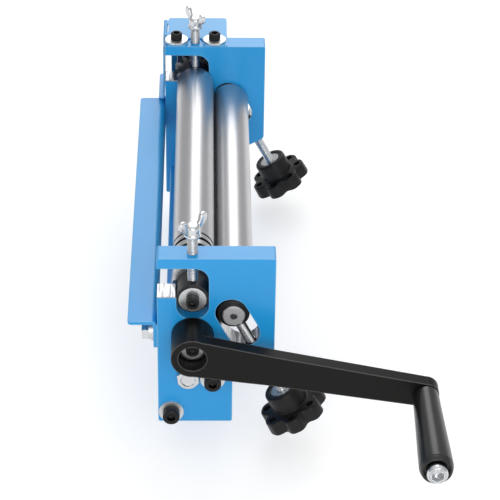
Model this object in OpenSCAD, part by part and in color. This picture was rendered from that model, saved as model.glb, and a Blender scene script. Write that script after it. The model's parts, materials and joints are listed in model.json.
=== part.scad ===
/* [End frames] */
// Width of an end frame across the machine
frame_w = 88; // [84:1:110]
// Height of an end frame, feet to top
frame_h = 148; // [146:1:175]
// Thickness of an end frame plate
frame_t = 18; // [16:1:24]
// Clear distance between the two end frames
frame_gap = 327; // [200:1:520]
// Width of the narrow foot of an end frame
foot_w = 56.6; // [52:0.2:62]
// Metal left above the notch for the upper roll
notch_roof = 8.8; // [7:0.1:11]
// Corner radius at the notch's inner top corner
notch_r = 10.5; // [6:0.5:11]
// Radius of the frame's small outer corners
corner_r = 1.6; // [0.8:0.1:3]
// Radius where the frame's slanted edge meets its sides
shoulder_r = 5; // [2:0.5:8]

/* [Rolls] */
// Diameter of the three rolls
roll_d = 32; // [30:0.1:32.2]
// Height of the drive roll's axis above the feet
drive_axis_h = 80.7; // [80:0.1:84]
// Distance of the drive and upper axes from the frame's front edge
axis_inset = 26.5; // [25:0.1:30]
// Gap between the drive and upper rolls at rest
nip_gap = 0.5; // [0.4:0.1:1.5]
// Gap between a roll's end and the frame
roll_side_gap = 2.5; // [1.5:0.1:4]
// Diameter of the drive and rear rolls' journals
journal_d = 18; // [16:0.5:18.5]
// Diameter of the upper roll's journals
upper_journal_d = 15; // [14.5:0.1:16]
// Diameter of the rear roll's journals
rear_journal_d = 17.2; // [16:0.2:18.4]
// How far the rear bush stays behind the frame's outer face
rear_bush_inset = 4.5; // [0:0.5:5]
// Diameter of the shaft ends that carry the gears and the crank
seat_d = 14; // [12:0.5:14.2]
// Widths of the three wire grooves, widest nearest the crank
groove_widths = [5, 4, 2.4]; // [2:0.2:6]
// Distances of the wire grooves from the roll's crank end
groove_places = [30, 40, 48]; // [15:1:90]
// Diameter of the centre hole in the rear roll's ends
centre_hole_d = 5.4; // [3:0.2:7]
// Chamfer on the ends of the rolls
roll_chamfer = 1; // [0.5:0.1:2]

/* [Bushes and slots] */
// Outer diameter of the sliding bushes
bush_d = 24; // [23:0.2:24.4]
// Outer diameter of the fixed drive bushes
drive_bush_d = 22; // [21:0.2:22.6]
// Gap between a sliding bush and each wall of its guide
slide_gap = 0.1; // [0.05:0.01:0.1]
// Radial gap of a running fit
run_gap = 0.05; // [0.02:0.01:0.1]
// Slant of the rear slot from the vertical
slot_angle = 28; // [24:0.5:32]
// Distance between the centres of the rear slot's round ends
slot_travel = 20; // [14:0.5:22]
// Rear slot's upper centre behind the drive axis
slot_dx = 28.9; // [28:0.1:32]
// Rear slot's upper centre above the drive axis
slot_dz = 19.5; // [17:0.1:20]
// How far the rear bush stands down its slot at rest
rear_rest = 3.6; // [3:0.1:12]
// Distance along the slot from its upper centre to the slanted edge
slant_reach = 54; // [48:0.5:56]

/* [Screws] */
// Nominal size of the wing screws and knob studs
adjust_d = 8; // [6:1:8]
// Depth of the upper bush's seat for its wing screw
wing_seat = 3; // [1:0.1:3]
// Depth of the rear bush's seat for its knob stud
stud_seat = 2; // [1:0.1:2.2]
// Length of bare wing screw above the frame
wing_stem = 14.5; // [14:0.5:20]
// Turn of the wing screw at the crank end
wing_turn_crank = 45; // [0:5:180]
// Turn of the wing screw at the gear end
wing_turn_gear = -56; // [-90:5:90]
// Tip radius of the wings
wing_reach = 14; // [11:0.5:15]
// Bare length of knob stud below the frame
stud_bare = 28; // [8:0.5:40]
// Distance of the knob stud's axis from the frame's outer face
stud_inset = 5.5; // [5.1:0.1:9]
// Size of the tie bars' cap screws
tie_screw = 8; // [6:2:8]
// Size of the tie bars' hexagon bolts
tie_bolt = 10; // [8:2:10]
// Size of the retaining, cover and shaft end screws
small_screw = 6; // [5:1:6]
// Outer diameter of the tie bars' washers
tie_washer_d = 19; // [16:0.5:19]
// Outer diameter of the cover's washers
cover_washer_d = 20; // [14:0.5:20]
// Outer diameter of the washers on the drive roll's ends
end_washer_d = 17.6; // [17:0.2:18.8]
// Outer diameter of the washers on the upper roll's ends
upper_washer_d = 20.6; // [17:0.2:21]
// Thickness of a flat washer
washer_t = 1.6; // [1:0.1:2]

/* [Star knobs] */
// Diameter over the knob's lobes
knob_d = 52; // [46:0.5:53]
// Depth of the hollows between the lobes
lobe_depth = 4.5; // [2:0.5:6]
// Thickness of the lobed disc
knob_disc_t = 12; // [9:0.5:18]
// Diameter of the knob's neck
knob_neck_d = 28.5; // [24:0.5:30]
// Length of the knob's neck
knob_neck_l = 15.5; // [14:0.5:30]
// Number of lobes
lobes = 7; // [5:1:8]
// Diameter of the hole through each lobe
lobe_hole_d = 6; // [3:0.5:7]
// Diameter of the metal insert in the neck
insert_d = 17.4; // [14:0.2:18]

/* [Crank] */
// Throw of the crank, shaft axis to grip axis
crank_throw = 177; // [120:1:220]
// How far the crank hangs below the horizontal at rest
crank_drop = 10.7; // [-30:0.1:30]
// Diameter of the crank's hub
hub_d = 32; // [30:0.5:34]
// Distance of the hub's front face from the frame
hub_reach = 32; // [31.5:0.5:42]
// Thickness of the crank arm
arm_t = 10.5; // [8:0.5:10.5]
// Half width of the arm one third of the way out
arm_mid_r = 12.9; // [11:0.1:15]
// Radius of the arm's round end
arm_end_r = 10.3; // [9:0.1:12]
// Diameter of the counterbore in the hub's face
hub_recess_d = 21.2; // [19.2:0.2:22]
// Depth of the counterbore in the hub's face
hub_recess = 15; // [9:0.5:16]
// Length of the hand grip
grip_l = 90; // [70:1:130]
// Diameter of the grip beside the arm
grip_near_d = 19.8; // [17:0.2:22]
// Diameter of the grip at its free end
grip_far_d = 25; // [24:0.2:30]
// Diameter of the bolt that the grip turns on
grip_bolt_d = 10; // [8:1:10]
// Diameter of the grip bolt's head
grip_head_d = 15.5; // [14:0.5:16]
// Height of the grip bolt's head
grip_head_h = 9; // [7:0.5:12]
// Height of the low head on the screw in the hub
hub_screw_head = 3.8; // [3.6:0.1:6]

/* [Gears] */
// Teeth on each gear
teeth = 14; // [12:1:16]
// Width of the teeth
gear_w = 14; // [8:1:16]
// Pressure angle of the teeth
pressure_angle = 20; // [18:1:25]
// Width and height of the keys
key_s = 4; // [3:0.5:4]

/* [Ties and front angle] */
// Width of the front tie bar
front_tie_w = 12; // [12:0.5:16]
// Height of the front tie bar
front_tie_h = 27; // [20:1:34]
// Distance of the front tie's screws from the frame's front edge
front_screw_inset = 10; // [9.6:0.1:12]
// Height of the front tie's screws above the feet
front_screw_h = 9.6; // [9.6:0.1:11]
// Width of the rear tie bar
rear_tie_w = 36; // [34:1:40]
// Height of the rear tie bar
rear_tie_h = 20; // [18:1:22]
// Height of the rear tie bar's middle above the feet
rear_tie_z = 40.5; // [36:0.5:46]
// Distance of the rear tie's hexagon bolt from the frame's front edge
hex_bolt_inset = 23; // [21:0.5:24]
// Height of the rear tie's hexagon bolt above the bar's middle
hex_bolt_rise = 2.4; // [0:0.2:3]
// Distance between the rear tie's two fasteners
rear_pair = 18.6; // [18.6:0.1:22]
// Length of the tie bars' screws inside the bar
tie_screw_bite = 20; // [12:1:30]
// Length by which the front angle's top flange stops short of the gear end
angle_relief = 9; // [6:0.5:12]
// Width of the front angle's top flange
angle_top_w = 22.3; // [16:0.1:30]
// Height of the front angle's side flange
angle_side_h = 23.4; // [22:0.1:30]
// Thickness of the front angle
angle_t = 3; // [2:0.5:4]
// Height of the front angle's top face above the feet
angle_top_z = 92.4; // [91:0.1:93]
// Height of the front angle's bolts above the feet
angle_bolt_z = 79; // [78:0.5:80]
// Size of the front angle's bolts
angle_bolt = 8; // [6:2:8]
// Diameter of the front angle's washers
angle_washer_d = 16; // [13:0.5:17]

/* [Gear cover] */
// Thickness of the cover's sheet
cover_t = 1.5; // [1:0.1:2]
// Depth of the cover behind the gear end frame
cover_depth = 36; // [34:0.5:50]
// Width of the cover
cover_w = 52; // [50:0.5:56]
// Distance of the cover's fixed side wall from the frame's front edge
cover_inset = 2.4; // [1.5:0.1:3]
// Height of the cover's floor above the feet
cover_floor_z = 55.5; // [50:0.5:58]
// Width of the notch round the wing screw
cover_notch_w = 14; // [12:0.5:15]
// Height of the cover's fixed side wall above the feet
cover_sill_z = 92; // [84:0.5:94]
// Width of the open corner beside the cover's rear wall
cover_slit = 2.2; // [1.6:0.1:4]
// Thickness of the flap's sheet
flap_t = 1.2; // [1:0.1:1.6]
// Height of the flap's lower edge above the feet
flap_low_z = 95; // [94.5:0.1:104]
// Length of the flap's hinge along the shaft
flap_l = 30; // [24:0.5:32]
// Length of the flap beside the gear end frame
flap_reach = 15.5; // [10:0.5:17]
// Width of the flap's turned-out finger lip
flap_lip = 4.2; // [3:0.1:7]
// Outer diameter of the flap's hinge knuckles
knuckle_d = 3.6; // [3.4:0.1:4.2]
// Diameter of the flap's hinge pin
flap_pin_d = 1.8; // [1.4:0.1:2]
// Distance between the cover's two screws
cover_screw_gap = 33.5; // [33:0.5:36]

/* [Hidden] */

$fn = 72;

// Gap that keeps two separate pieces from touching
seat_gap = 0.3;
// Reach of a cutting shape past the face that it cuts
past = 1;

// The origin is under the front tie bar, on the floor, half way between the frames
x_front = -front_screw_inset;
x_back = x_front + frame_w;
y_inner = frame_gap / 2;
y_outer = y_inner + frame_t;
y_mid = y_inner + frame_t / 2;
stud_y = y_outer - stud_inset;

axis_x = x_front + axis_inset;
drive_z = drive_axis_h;
upper_z = drive_z + roll_d + nip_gap;
notch_top = frame_h - notch_roof;
// The raised bush just clears the front finger, so the upper roll lifts out to the front
finger_top = notch_top - bush_d - 2 * seat_gap;
notch_half = bush_d / 2 + slide_gap;
// The pocket's round end stays above the drive roll's bush
pocket_z = drive_z + drive_bush_d / 2 + notch_half + 2.7;

slot_x = axis_x + slot_dx;
slot_z = drive_z + slot_dz;
// Where the slanted edge meets the rear edge and the foot
slant_back_z = slot_z - (slant_reach - (x_back - slot_x) * sin(slot_angle)) / cos(slot_angle);
x_foot = x_front + foot_w;
slant_foot_z = slant_back_z - (x_back - x_foot) * tan(slot_angle);

roll_end = y_inner - roll_side_gap;
bush_in = roll_end + seat_gap;
upper_stub = y_outer + seat_gap;

gear_front = y_outer + 3;
gear_back = gear_front + gear_w;
gear_pitch_r = (roll_d - nip_gap) / 2;
module_size = 2 * gear_pitch_r / teeth;
gear_tip_r = gear_pitch_r + module_size;
gear_root_r = gear_pitch_r - 1.25 * module_size;
gear_base_r = gear_pitch_r * cos(pressure_angle);

hub_front = -(y_outer + hub_reach);
hub_back = -(y_outer + 0.8);
arm_back = hub_front + arm_t;
recess_floor = hub_front + hub_recess;
shaft_front = recess_floor + seat_gap;
grip_x = axis_x + crank_throw * cos(crank_drop);
grip_z = drive_z - crank_throw * sin(crank_drop);
grip_in = hub_front - seat_gap;
grip_out = grip_in - grip_l;
grip_recess = 3;

hex_x = x_front + hex_bolt_inset;
hex_z = rear_tie_z + hex_bolt_rise;
cap_x = hex_x + rear_pair;
knob_top = slant_reach + stud_bare;
knob_base = knob_top + knob_neck_l + knob_disc_t;
stud_tip = rear_rest + bush_d / 2 - stud_seat;
insert_l = 14;

cover_x0 = x_front + cover_inset;
cover_x1 = cover_x0 + cover_w;
cover_y1 = y_outer + cover_depth;
hinge_x = x_front;
hinge_z = frame_h + 0.3;
flap_y0 = y_outer + 1;
flap_y1 = flap_y0 + flap_l;
sheet_y0 = y_outer - flap_reach;
flap_mid_y0 = flap_y0 + flap_l / 4;
flap_mid_y1 = flap_y1 - flap_l / 4;

frame_blue = "#3a97d8";
cover_blue = "#5aa9e0";
steel = "#c9ccd0";
black = "#2b2b2d";
zinc = "#dfe3e6";
bronze = "#3a3836";

function unit(v) = v / norm(v);

// Arc that rounds the corner q between p and s, with n steps
function corner(p, q, s, r, n) =
    let (u = unit(p - q), v = unit(s - q), half = acos(u * v) / 2)
    let (c = q + unit(u + v) * r / sin(half))
    let (a = q + u * r / tan(half) - c, b = q + v * r / tan(half) - c)
    let (from = atan2(a[1], a[0]), raw = atan2(b[1], b[0]) - from)
    let (turn = raw > 180 ? raw - 360 : raw < -180 ? raw + 360 : raw)
    [for (i = [0:n]) c + r * [cos(from + turn * i / n), sin(from + turn * i / n)]];

// Outline through corners given as [x, y, radius]
function rounded(pts, n = 6) =
    let (k = len(pts))
    let (xy = [for (p = pts) [p[0], p[1]]])
    [for (i = [0:k - 1])
        each pts[i][2] > 0
            ? corner(xy[(i + k - 1) % k], xy[i], xy[(i + 1) % k], pts[i][2], n)
            : [xy[i]]];

// Draws an X-Z outline as a slab from y to y + l
module slab_y(y, l) {
    translate([0, y + l, 0])
        rotate([90, 0, 0])
            linear_extrude(l)
                children();
}

// Rod along Y from y0 to y1
module rod_y(x, z, y0, y1, d) {
    translate([x, min(y0, y1), z])
        rotate([-90, 0, 0])
            cylinder(d = d, h = abs(y1 - y0));
}

// Frame of the rear slot at frame y: its -Z runs down the slot from the upper centre
module along_slot(y) {
    translate([slot_x, y, slot_z])
        rotate([0, -slot_angle, 0])
            children();
}

// Children at the crank end as drawn, and mirrored at the gear end
module both_ends() {
    children();
    mirror([0, 1, 0])
        children();
}

function socket_size(s) = s == 6 ? 5 : s == 8 ? 6 : s == 5 ? 4 : 8;
function cap_head_d(s) = 1.5 * s + 1;
function hex_size(s) = s == 6 ? 10 : s == 8 ? 13 : 16;
function hex_head_h(s) = 0.65 * s;

// Socket cap screw: its shank hangs down from the head's seat at z = 0
module cap_screw(s, l, head) {
    difference() {
        union() {
            cylinder(d = cap_head_d(s), h = head - 0.6);
            translate([0, 0, head - 0.6])
                cylinder(d1 = cap_head_d(s), d2 = cap_head_d(s) - 1.2, h = 0.6);
            translate([0, 0, -l])
                cylinder(d = s, h = l);
        }
        translate([0, 0, head - 0.55 * s])
            cylinder(d = socket_size(s) / cos(30), h = s, $fn = 6);
    }
}

// Hexagon bolt with a chamfered head
module hex_bolt(s, l) {
    intersection() {
        cylinder(d = hex_size(s) / cos(30), h = hex_head_h(s), $fn = 6);
        cylinder(d1 = 2 * hex_size(s), d2 = 0.96 * hex_size(s), h = 1.6 * hex_head_h(s));
    }
    translate([0, 0, -l])
        cylinder(d = s, h = l + 0.1);
}

module washer(d, hole, t) {
    difference() {
        cylinder(d = d, h = t);
        translate([0, 0, -past])
            cylinder(d = hole, h = t + 2 * past);
    }
}

// Places a part with its +Z towards the crank end (-Y)
module face_crank(x, y, z) {
    translate([x, y, z])
        rotate([90, 0, 0])
            children();
}

// Places a part with its +Z away from the crank end (+Y)
module face_gears(x, y, z) {
    translate([x, y, z])
        rotate([-90, 0, 0])
            children();
}

module notch_outline() {
    polygon(rounded([
        [x_front - past, notch_top, 0],
        [axis_x + notch_half, notch_top, notch_r],
        [axis_x + notch_half, pocket_z, 0],
        [axis_x - notch_half, pocket_z, 0],
        [axis_x - notch_half, finger_top, 1.2],
        [x_front - past, finger_top, 0]
    ], 10));
    translate([axis_x, pocket_z])
        circle(r = notch_half);
}

module slot_outline() {
    translate([slot_x, slot_z])
        rotate(slot_angle) {
            circle(r = notch_half);
            translate([0, -slot_travel])
                circle(r = notch_half);
            translate([-notch_half, -slot_travel])
                square([2 * notch_half, slot_travel]);
        }
}

module frame_outline() {
    difference() {
        polygon(rounded([
            [x_front, 0, corner_r],
            [x_foot, 0, corner_r],
            [x_foot, slant_foot_z, shoulder_r],
            [x_back, slant_back_z, shoulder_r],
            [x_back, frame_h, corner_r],
            [x_front, frame_h, corner_r]
        ]));
        notch_outline();
        slot_outline();
        translate([axis_x, drive_z])
            circle(d = drive_bush_d + 2 * run_gap);
        translate([0, front_screw_h])
            circle(d = tie_screw + 2 * run_gap);
        translate([hex_x, hex_z])
            circle(d = tie_bolt + 2 * run_gap);
        translate([cap_x, rear_tie_z])
            circle(d = tie_screw + 2 * run_gap);
    }
}

// End frame at the crank end: slotted plate with tapped holes in its edges
module frame_plate() {
    difference() {
        slab_y(-y_outer, frame_t)
            frame_outline();
        translate([axis_x, -y_mid, notch_top - past])
            cylinder(d = adjust_d + 2 * run_gap, h = notch_roof + 2 * past);
        along_slot(-stud_y)
            translate([0, 0, -slant_reach - past])
                cylinder(d = adjust_d + 2 * run_gap, h = slant_reach - slot_travel);
        translate([x_front - past, -y_mid, angle_bolt_z])
            rotate([0, 90, 0])
                cylinder(d = angle_bolt + 2 * run_gap, h = 12 + past);
    }
}

module crank_end_frame() {
    color(frame_blue)
        frame_plate();
}

module gear_end_frame() {
    color(frame_blue)
        difference() {
            mirror([0, 1, 0])
                frame_plate();
            for (x = [0, cover_screw_gap])
                translate([x, y_mid, frame_h - 7])
                    cylinder(d = small_screw + 2 * run_gap, h = 7 + past);
        }
}

// Bent sheet along the front, bolted to both frames' front edges: its top flange
// stops short at the gear end, under the cover's flap
module front_angle() {
    bend_r = angle_t + 2;
    z_low = angle_top_z - angle_side_h;
    x_out = x_front - angle_top_w;
    color(frame_blue)
        difference() {
            slab_y(-y_outer, 2 * y_outer)
                polygon(rounded([
                    [x_out, angle_top_z, 0.6],
                    [x_out, angle_top_z - angle_t, 0.6],
                    [x_front - angle_t, angle_top_z - angle_t, 2],
                    [x_front - angle_t, z_low, 0.6],
                    [x_front, z_low, 0.6],
                    [x_front, angle_top_z, bend_r]
                ], 8));
            both_ends()
                translate([x_front - angle_t - past, -y_mid, angle_bolt_z])
                    rotate([0, 90, 0])
                        cylinder(d = angle_bolt + 1, h = angle_t + 2 * past);
            translate([x_out - past, y_outer - angle_relief, angle_top_z - angle_t - past])
                cube([angle_top_w - bend_r + past, angle_relief + past, angle_t + 2 * past]);
            flange_corner(-y_outer, 1);
            flange_corner(y_outer - angle_relief, -1);
        }
}

// What rounds a free corner of the angle's top flange at the given y
module flange_corner(y, inward) {
    r = 3;
    translate([x_front - angle_top_w, y, angle_top_z - angle_t - past])
        mirror([0, inward < 0 ? 1 : 0, 0])
            difference() {
                translate([-past, -past, 0])
                    cube([r + past, r + past, angle_t + 2 * past]);
                translate([r, r, -past])
                    cylinder(r = r, h = angle_t + 4 * past);
            }
}

module front_tie_bar() {
    color(frame_blue)
        difference() {
            slab_y(-y_inner, frame_gap)
                polygon(rounded([
                    [-front_tie_w / 2, 0, 1],
                    [front_tie_w / 2, 0, 1],
                    [front_tie_w / 2, front_tie_h, 1],
                    [-front_tie_w / 2, front_tie_h, 1]
                ], 4));
            both_ends()
                rod_y(0, front_screw_h, -y_inner - past, -y_inner + tie_screw_bite + 2,
                    tie_screw + 2 * run_gap);
        }
}

module rear_tie_bar() {
    x_mid = (hex_x + cap_x) / 2;
    color(frame_blue)
        difference() {
            slab_y(-y_inner, frame_gap)
                polygon(rounded([
                    [x_mid - rear_tie_w / 2, rear_tie_z - rear_tie_h / 2, 1],
                    [x_mid + rear_tie_w / 2, rear_tie_z - rear_tie_h / 2, 1],
                    [x_mid + rear_tie_w / 2, rear_tie_z + rear_tie_h / 2, 1],
                    [x_mid - rear_tie_w / 2, rear_tie_z + rear_tie_h / 2, 1]
                ], 4));
            both_ends() {
                rod_y(cap_x, rear_tie_z, -y_inner - past, -y_inner + tie_screw_bite + 2,
                    tie_screw + 2 * run_gap);
                rod_y(hex_x, hex_z, -y_inner - past, -y_inner + tie_screw_bite + 2,
                    tie_bolt + 2 * run_gap);
            }
        }
}

// The two cap screws at each end: places as [x, z]
tie_screw_places = [[0, front_screw_h], [cap_x, rear_tie_z]];

module tie_cap_screws() {
    color(black)
        both_ends()
            for (p = tie_screw_places)
                face_crank(p[0], -y_outer - washer_t, p[1])
                    cap_screw(tie_screw, washer_t + frame_t + tie_screw_bite, tie_screw);
}

module tie_washers() {
    color(zinc)
        both_ends()
            for (p = tie_screw_places)
                face_crank(p[0], -y_outer, p[1])
                    washer(tie_washer_d, tie_screw + 2 * run_gap, washer_t);
}

module tie_hex_bolts() {
    color(zinc)
        both_ends()
            face_crank(hex_x, -y_outer, hex_z)
                rotate(39)
                    hex_bolt(tie_bolt, frame_t + tie_screw_bite);
}

// Places a part with its +Z towards the front (-X), on the front angle's side flange
module on_angle(out) {
    both_ends()
        translate([x_front - angle_t - out, -y_mid, angle_bolt_z])
            rotate([0, -90, 0])
                children();
}

angle_spring_t = 2;

module angle_washers() {
    color(zinc)
        on_angle(0)
            washer(angle_washer_d, angle_bolt + 2 * run_gap, washer_t);
}

// Split spring washer, drawn closed
module angle_spring_washers() {
    color(zinc)
        on_angle(washer_t)
            difference() {
                washer(angle_bolt + 6, angle_bolt + 2 * run_gap, angle_spring_t);
                translate([angle_bolt / 2 - past, -0.3, -past])
                    cube([angle_bolt, 0.6, angle_spring_t + 2 * past]);
            }
}

module angle_bolts() {
    color(zinc)
        on_angle(washer_t + angle_spring_t)
            hex_bolt(angle_bolt, washer_t + angle_spring_t + angle_t + 11);
}

// Plain bush along Y between y0 and y1, at the X-Z origin
module bush(y0, y1, d, bore) {
    difference() {
        rod_y(0, 0, y0, y1, d);
        rod_y(0, 0, y0 - past, y1 + past, bore);
    }
}

module drive_bushes() {
    color(bronze)
        translate([axis_x, 0, drive_z])
            both_ends()
                bush(-y_outer, -bush_in, drive_bush_d, journal_d + 2 * run_gap);
}

// Bushes of the upper roll, each with a seat for its wing screw on top
module upper_bushes() {
    color(bronze)
        translate([axis_x, 0, upper_z])
            both_ends()
                difference() {
                    bush(-y_outer, -bush_in, bush_d, upper_journal_d + 2 * run_gap);
                    translate([0, -y_mid, bush_d / 2 - wing_seat])
                        cylinder(d = adjust_d + 4 * run_gap, h = wing_seat + past);
                }
}

// Bushes of the rear roll, each with a seat for its knob stud
module rear_bushes() {
    color(bronze)
        both_ends()
            difference() {
                along_slot(0)
                    translate([0, 0, -rear_rest])
                        bush(-y_outer + rear_bush_inset, -bush_in, bush_d, rear_journal_d + 2 * run_gap);
                along_slot(-stud_y)
                    translate([0, 0, -rear_rest - bush_d / 2 - past])
                        cylinder(d = adjust_d + 4 * run_gap, h = stud_seat + past);
            }
}

// Round bar along Y from -end to end, with chamfered ends
module chamfered_bar(end, d, chamfer) {
    body = 2 * (end - chamfer);
    translate([0, -body / 2, 0])
        rotate([-90, 0, 0]) {
            cylinder(d = d, h = body, $fn = 96);
            translate([0, 0, -chamfer])
                cylinder(d1 = d - 2 * chamfer, d2 = d, h = chamfer, $fn = 96);
            translate([0, 0, body])
                cylinder(d2 = d - 2 * chamfer, d1 = d, h = chamfer, $fn = 96);
        }
}

module roll_barrel() {
    chamfered_bar(roll_end, roll_d, roll_chamfer);
}

// Half-round wire grooves near the crank end
module wire_grooves() {
    for (i = [0:len(groove_widths) - 1])
        translate([0, groove_places[i] - roll_end, 0])
            rotate([90, 0, 0])
                rotate_extrude($fn = 96)
                    translate([roll_d / 2, 0])
                        circle(d = groove_widths[i], $fn = 24);
}

// Keyway cutter on the top of a shaft end of diameter seat_d, from y0 to y1
module shaft_keyway(y0, y1) {
    translate([-key_s / 2 - run_gap, min(y0, y1), seat_d / 2 - 0.6 * key_s])
        cube([key_s + 2 * run_gap, abs(y1 - y0), key_s]);
}

// Parallel key from y0 to y1, seated in the shaft
module key_bar(y0, y1) {
    translate([-key_s / 2, min(y0, y1), seat_d / 2 - 0.6 * key_s + run_gap])
        cube([key_s, abs(y1 - y0), key_s - run_gap]);
}

// Bore with a keyway for the shaft end, from y0 to y1
module keyed_bore(y0, y1) {
    rod_y(0, 0, y0, y1, seat_d + 2 * run_gap);
    translate([-key_s / 2 - run_gap, min(y0, y1), 0])
        cube([key_s + 2 * run_gap, abs(y1 - y0), seat_d / 2 + 0.4 * key_s + run_gap]);
}

end_tap = small_screw + 2 * run_gap;
end_screw_l = 14;

module drive_roll() {
    color(steel)
        translate([axis_x, 0, drive_z])
            difference() {
                union() {
                    roll_barrel();
                    rod_y(0, 0, hub_back + seat_gap, y_outer + seat_gap, journal_d);
                    rod_y(0, 0, shaft_front, gear_back - seat_gap, seat_d);
                }
                wire_grooves();
                shaft_keyway(shaft_front + 3, hub_back - 2);
                shaft_keyway(gear_front + 1, gear_back + past);
                rod_y(0, 0, shaft_front - past, shaft_front + end_screw_l + 2, end_tap);
                rod_y(0, 0, gear_back + past, gear_back - end_screw_l - 2, end_tap);
            }
}

module upper_roll() {
    color(steel)
        translate([axis_x, 0, upper_z])
            difference() {
                union() {
                    roll_barrel();
                    rod_y(0, 0, -upper_stub, upper_stub, upper_journal_d);
                    rod_y(0, 0, 0, gear_back - seat_gap, seat_d);
                }
                wire_grooves();
                shaft_keyway(gear_front + 1, gear_back + past);
                rod_y(0, 0, -upper_stub - past, -upper_stub + end_screw_l + 2, end_tap);
                rod_y(0, 0, gear_back + past, gear_back - end_screw_l - 2, end_tap);
            }
}

// Idle bending roll in the slanted slots
module rear_roll() {
    color(steel)
        along_slot(0)
            translate([0, 0, -rear_rest])
                difference() {
                    union() {
                        roll_barrel();
                        chamfered_bar(y_outer, rear_journal_d, 1);
                    }
                    both_ends()
                        rod_y(0, 0, -y_outer - past, -y_outer + 10, centre_hole_d);
                }
}

// Point of an involute at radius r, turned back to start on the X axis at the pitch circle
function roll_angle(r) = sqrt(max(0, pow(r / gear_base_r, 2) - 1)) * 180 / PI;
function involute(r) = roll_angle(r) - atan(roll_angle(r) * PI / 180);
function flank_angle(r) = 90 / teeth * 0.96 + involute(gear_pitch_r) - involute(max(r, gear_base_r));
function polar(r, a) = r * [cos(a), sin(a)];

// One gear: involute teeth with a tooth on +X, turned by half a tooth when odd
module gear_outline() {
    steps = 5;
    low = max(gear_root_r, gear_base_r);
    radii = [for (i = [0:steps]) low + (gear_tip_r - low) * i / steps];
    polygon([for (k = [0:teeth - 1])
        let (mid = k * 360 / teeth)
        each concat(
            [polar(gear_root_r, mid - 180 / teeth * 0.62)],
            [for (i = [0:steps]) polar(radii[i], mid - flank_angle(radii[i]))],
            [for (i = [steps:-1:0]) polar(radii[i], mid + flank_angle(radii[i]))],
            [polar(gear_root_r, mid + 180 / teeth * 0.62)]
        )]);
}

// Spur gear with a short boss towards the frame, turned about its axis
module spur_gear(turn) {
    difference() {
        union() {
            slab_y(gear_front, gear_w)
                rotate(turn)
                    gear_outline();
            rod_y(0, 0, y_outer + 2 * seat_gap, gear_front + past, 22);
        }
        keyed_bore(y_outer, gear_back + past);
    }
}

module drive_gear() {
    color(steel)
        translate([axis_x, 0, drive_z])
            spur_gear(90);
}

module upper_gear() {
    color(steel)
        translate([axis_x, 0, upper_z])
            spur_gear(-90 + 180 / teeth);
}

module gear_key() {
    key_bar(gear_front + 1 + run_gap, gear_back - seat_gap);
}

module drive_gear_key() {
    color(zinc)
        translate([axis_x, 0, drive_z])
            gear_key();
}

module upper_gear_key() {
    color(zinc)
        translate([axis_x, 0, upper_z])
            gear_key();
}

module end_washer(d = end_washer_d) {
    washer(d, end_tap, washer_t);
}

module drive_gear_washer() {
    color(zinc)
        face_gears(axis_x, gear_back, drive_z)
            end_washer();
}

module drive_gear_screw() {
    color(black)
        face_gears(axis_x, gear_back + washer_t, drive_z)
            cap_screw(small_screw, end_screw_l, small_screw);
}

module upper_end_washers() {
    color(zinc) {
        face_gears(axis_x, gear_back, upper_z)
            end_washer(upper_washer_d);
        face_crank(axis_x, -upper_stub, upper_z)
            end_washer(upper_washer_d);
    }
}

module upper_end_screws() {
    color(black) {
        face_gears(axis_x, gear_back + washer_t, upper_z)
            cap_screw(small_screw, end_screw_l, small_screw);
        face_crank(axis_x, -upper_stub - washer_t, upper_z)
            cap_screw(small_screw, end_screw_l, small_screw);
    }
}

// Outline of the arm beside its round end: it tapers in two stages from the hub
module arm_outline() {
    arm_mid = crank_throw / 3;
    half = [
        [0, hub_d / 2 - 0.3],
        [arm_mid * 0.7, arm_mid_r + 1],
        [arm_mid, arm_mid_r],
        [arm_mid * 1.4, arm_mid_r - 0.55],
        [crank_throw, arm_end_r - 0.1]
    ];
    polygon(concat(half, [for (i = [len(half) - 1:-1:0]) [half[i][0], -half[i][1]]]));
}

// Cast crank: long hub, tapered arm, round end
module crank_arm() {
    color(black)
        translate([axis_x, 0, drive_z])
            difference() {
                union() {
                    slab_y(hub_front, arm_t)
                        rotate(-crank_drop)
                            arm_outline();
                    translate([grip_x - axis_x, 0, grip_z - drive_z])
                        rod_y(0, 0, hub_front, arm_back, 2 * arm_end_r);
                    rod_y(0, 0, hub_front, hub_back, hub_d);
                }
                rod_y(0, 0, hub_front - past, recess_floor, hub_recess_d);
                keyed_bore(recess_floor - past, hub_back + past);
                translate([grip_x - axis_x, 0, grip_z - drive_z])
                    rod_y(0, 0, hub_front - past, arm_back + past, grip_bolt_d + 2 * run_gap);
            }
}

module crank_key() {
    color(zinc)
        translate([axis_x, 0, drive_z])
            key_bar(shaft_front + 3 + run_gap, hub_back - 2 - run_gap);
}

module crank_washer() {
    color(zinc)
        face_crank(axis_x, recess_floor, drive_z)
            end_washer();
}

module crank_screw() {
    color(black)
        face_crank(axis_x, recess_floor - washer_t, drive_z)
            cap_screw(small_screw, end_screw_l, hub_screw_head);
}

// Shoulder bolt that the grip turns on, its domed head at the free end
module grip_bolt() {
    head_seat = grip_out + grip_recess;
    color(zinc)
        face_crank(grip_x, head_seat, grip_z)
            difference() {
                union() {
                    translate([0, 0, head_seat - arm_back])
                        cylinder(d = grip_bolt_d, h = arm_back - head_seat);
                    rotate_extrude()
                        polygon(rounded([
                            [0, 0, 0],
                            [grip_head_d / 2, 0, 0],
                            [grip_head_d / 2, grip_head_h, 2.6],
                            [0, grip_head_h, 0]
                        ], 6));
                }
                translate([0, 0, grip_head_h - 5])
                    cylinder(d = 8 / cos(30), h = 5 + past, $fn = 6);
            }
}

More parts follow.
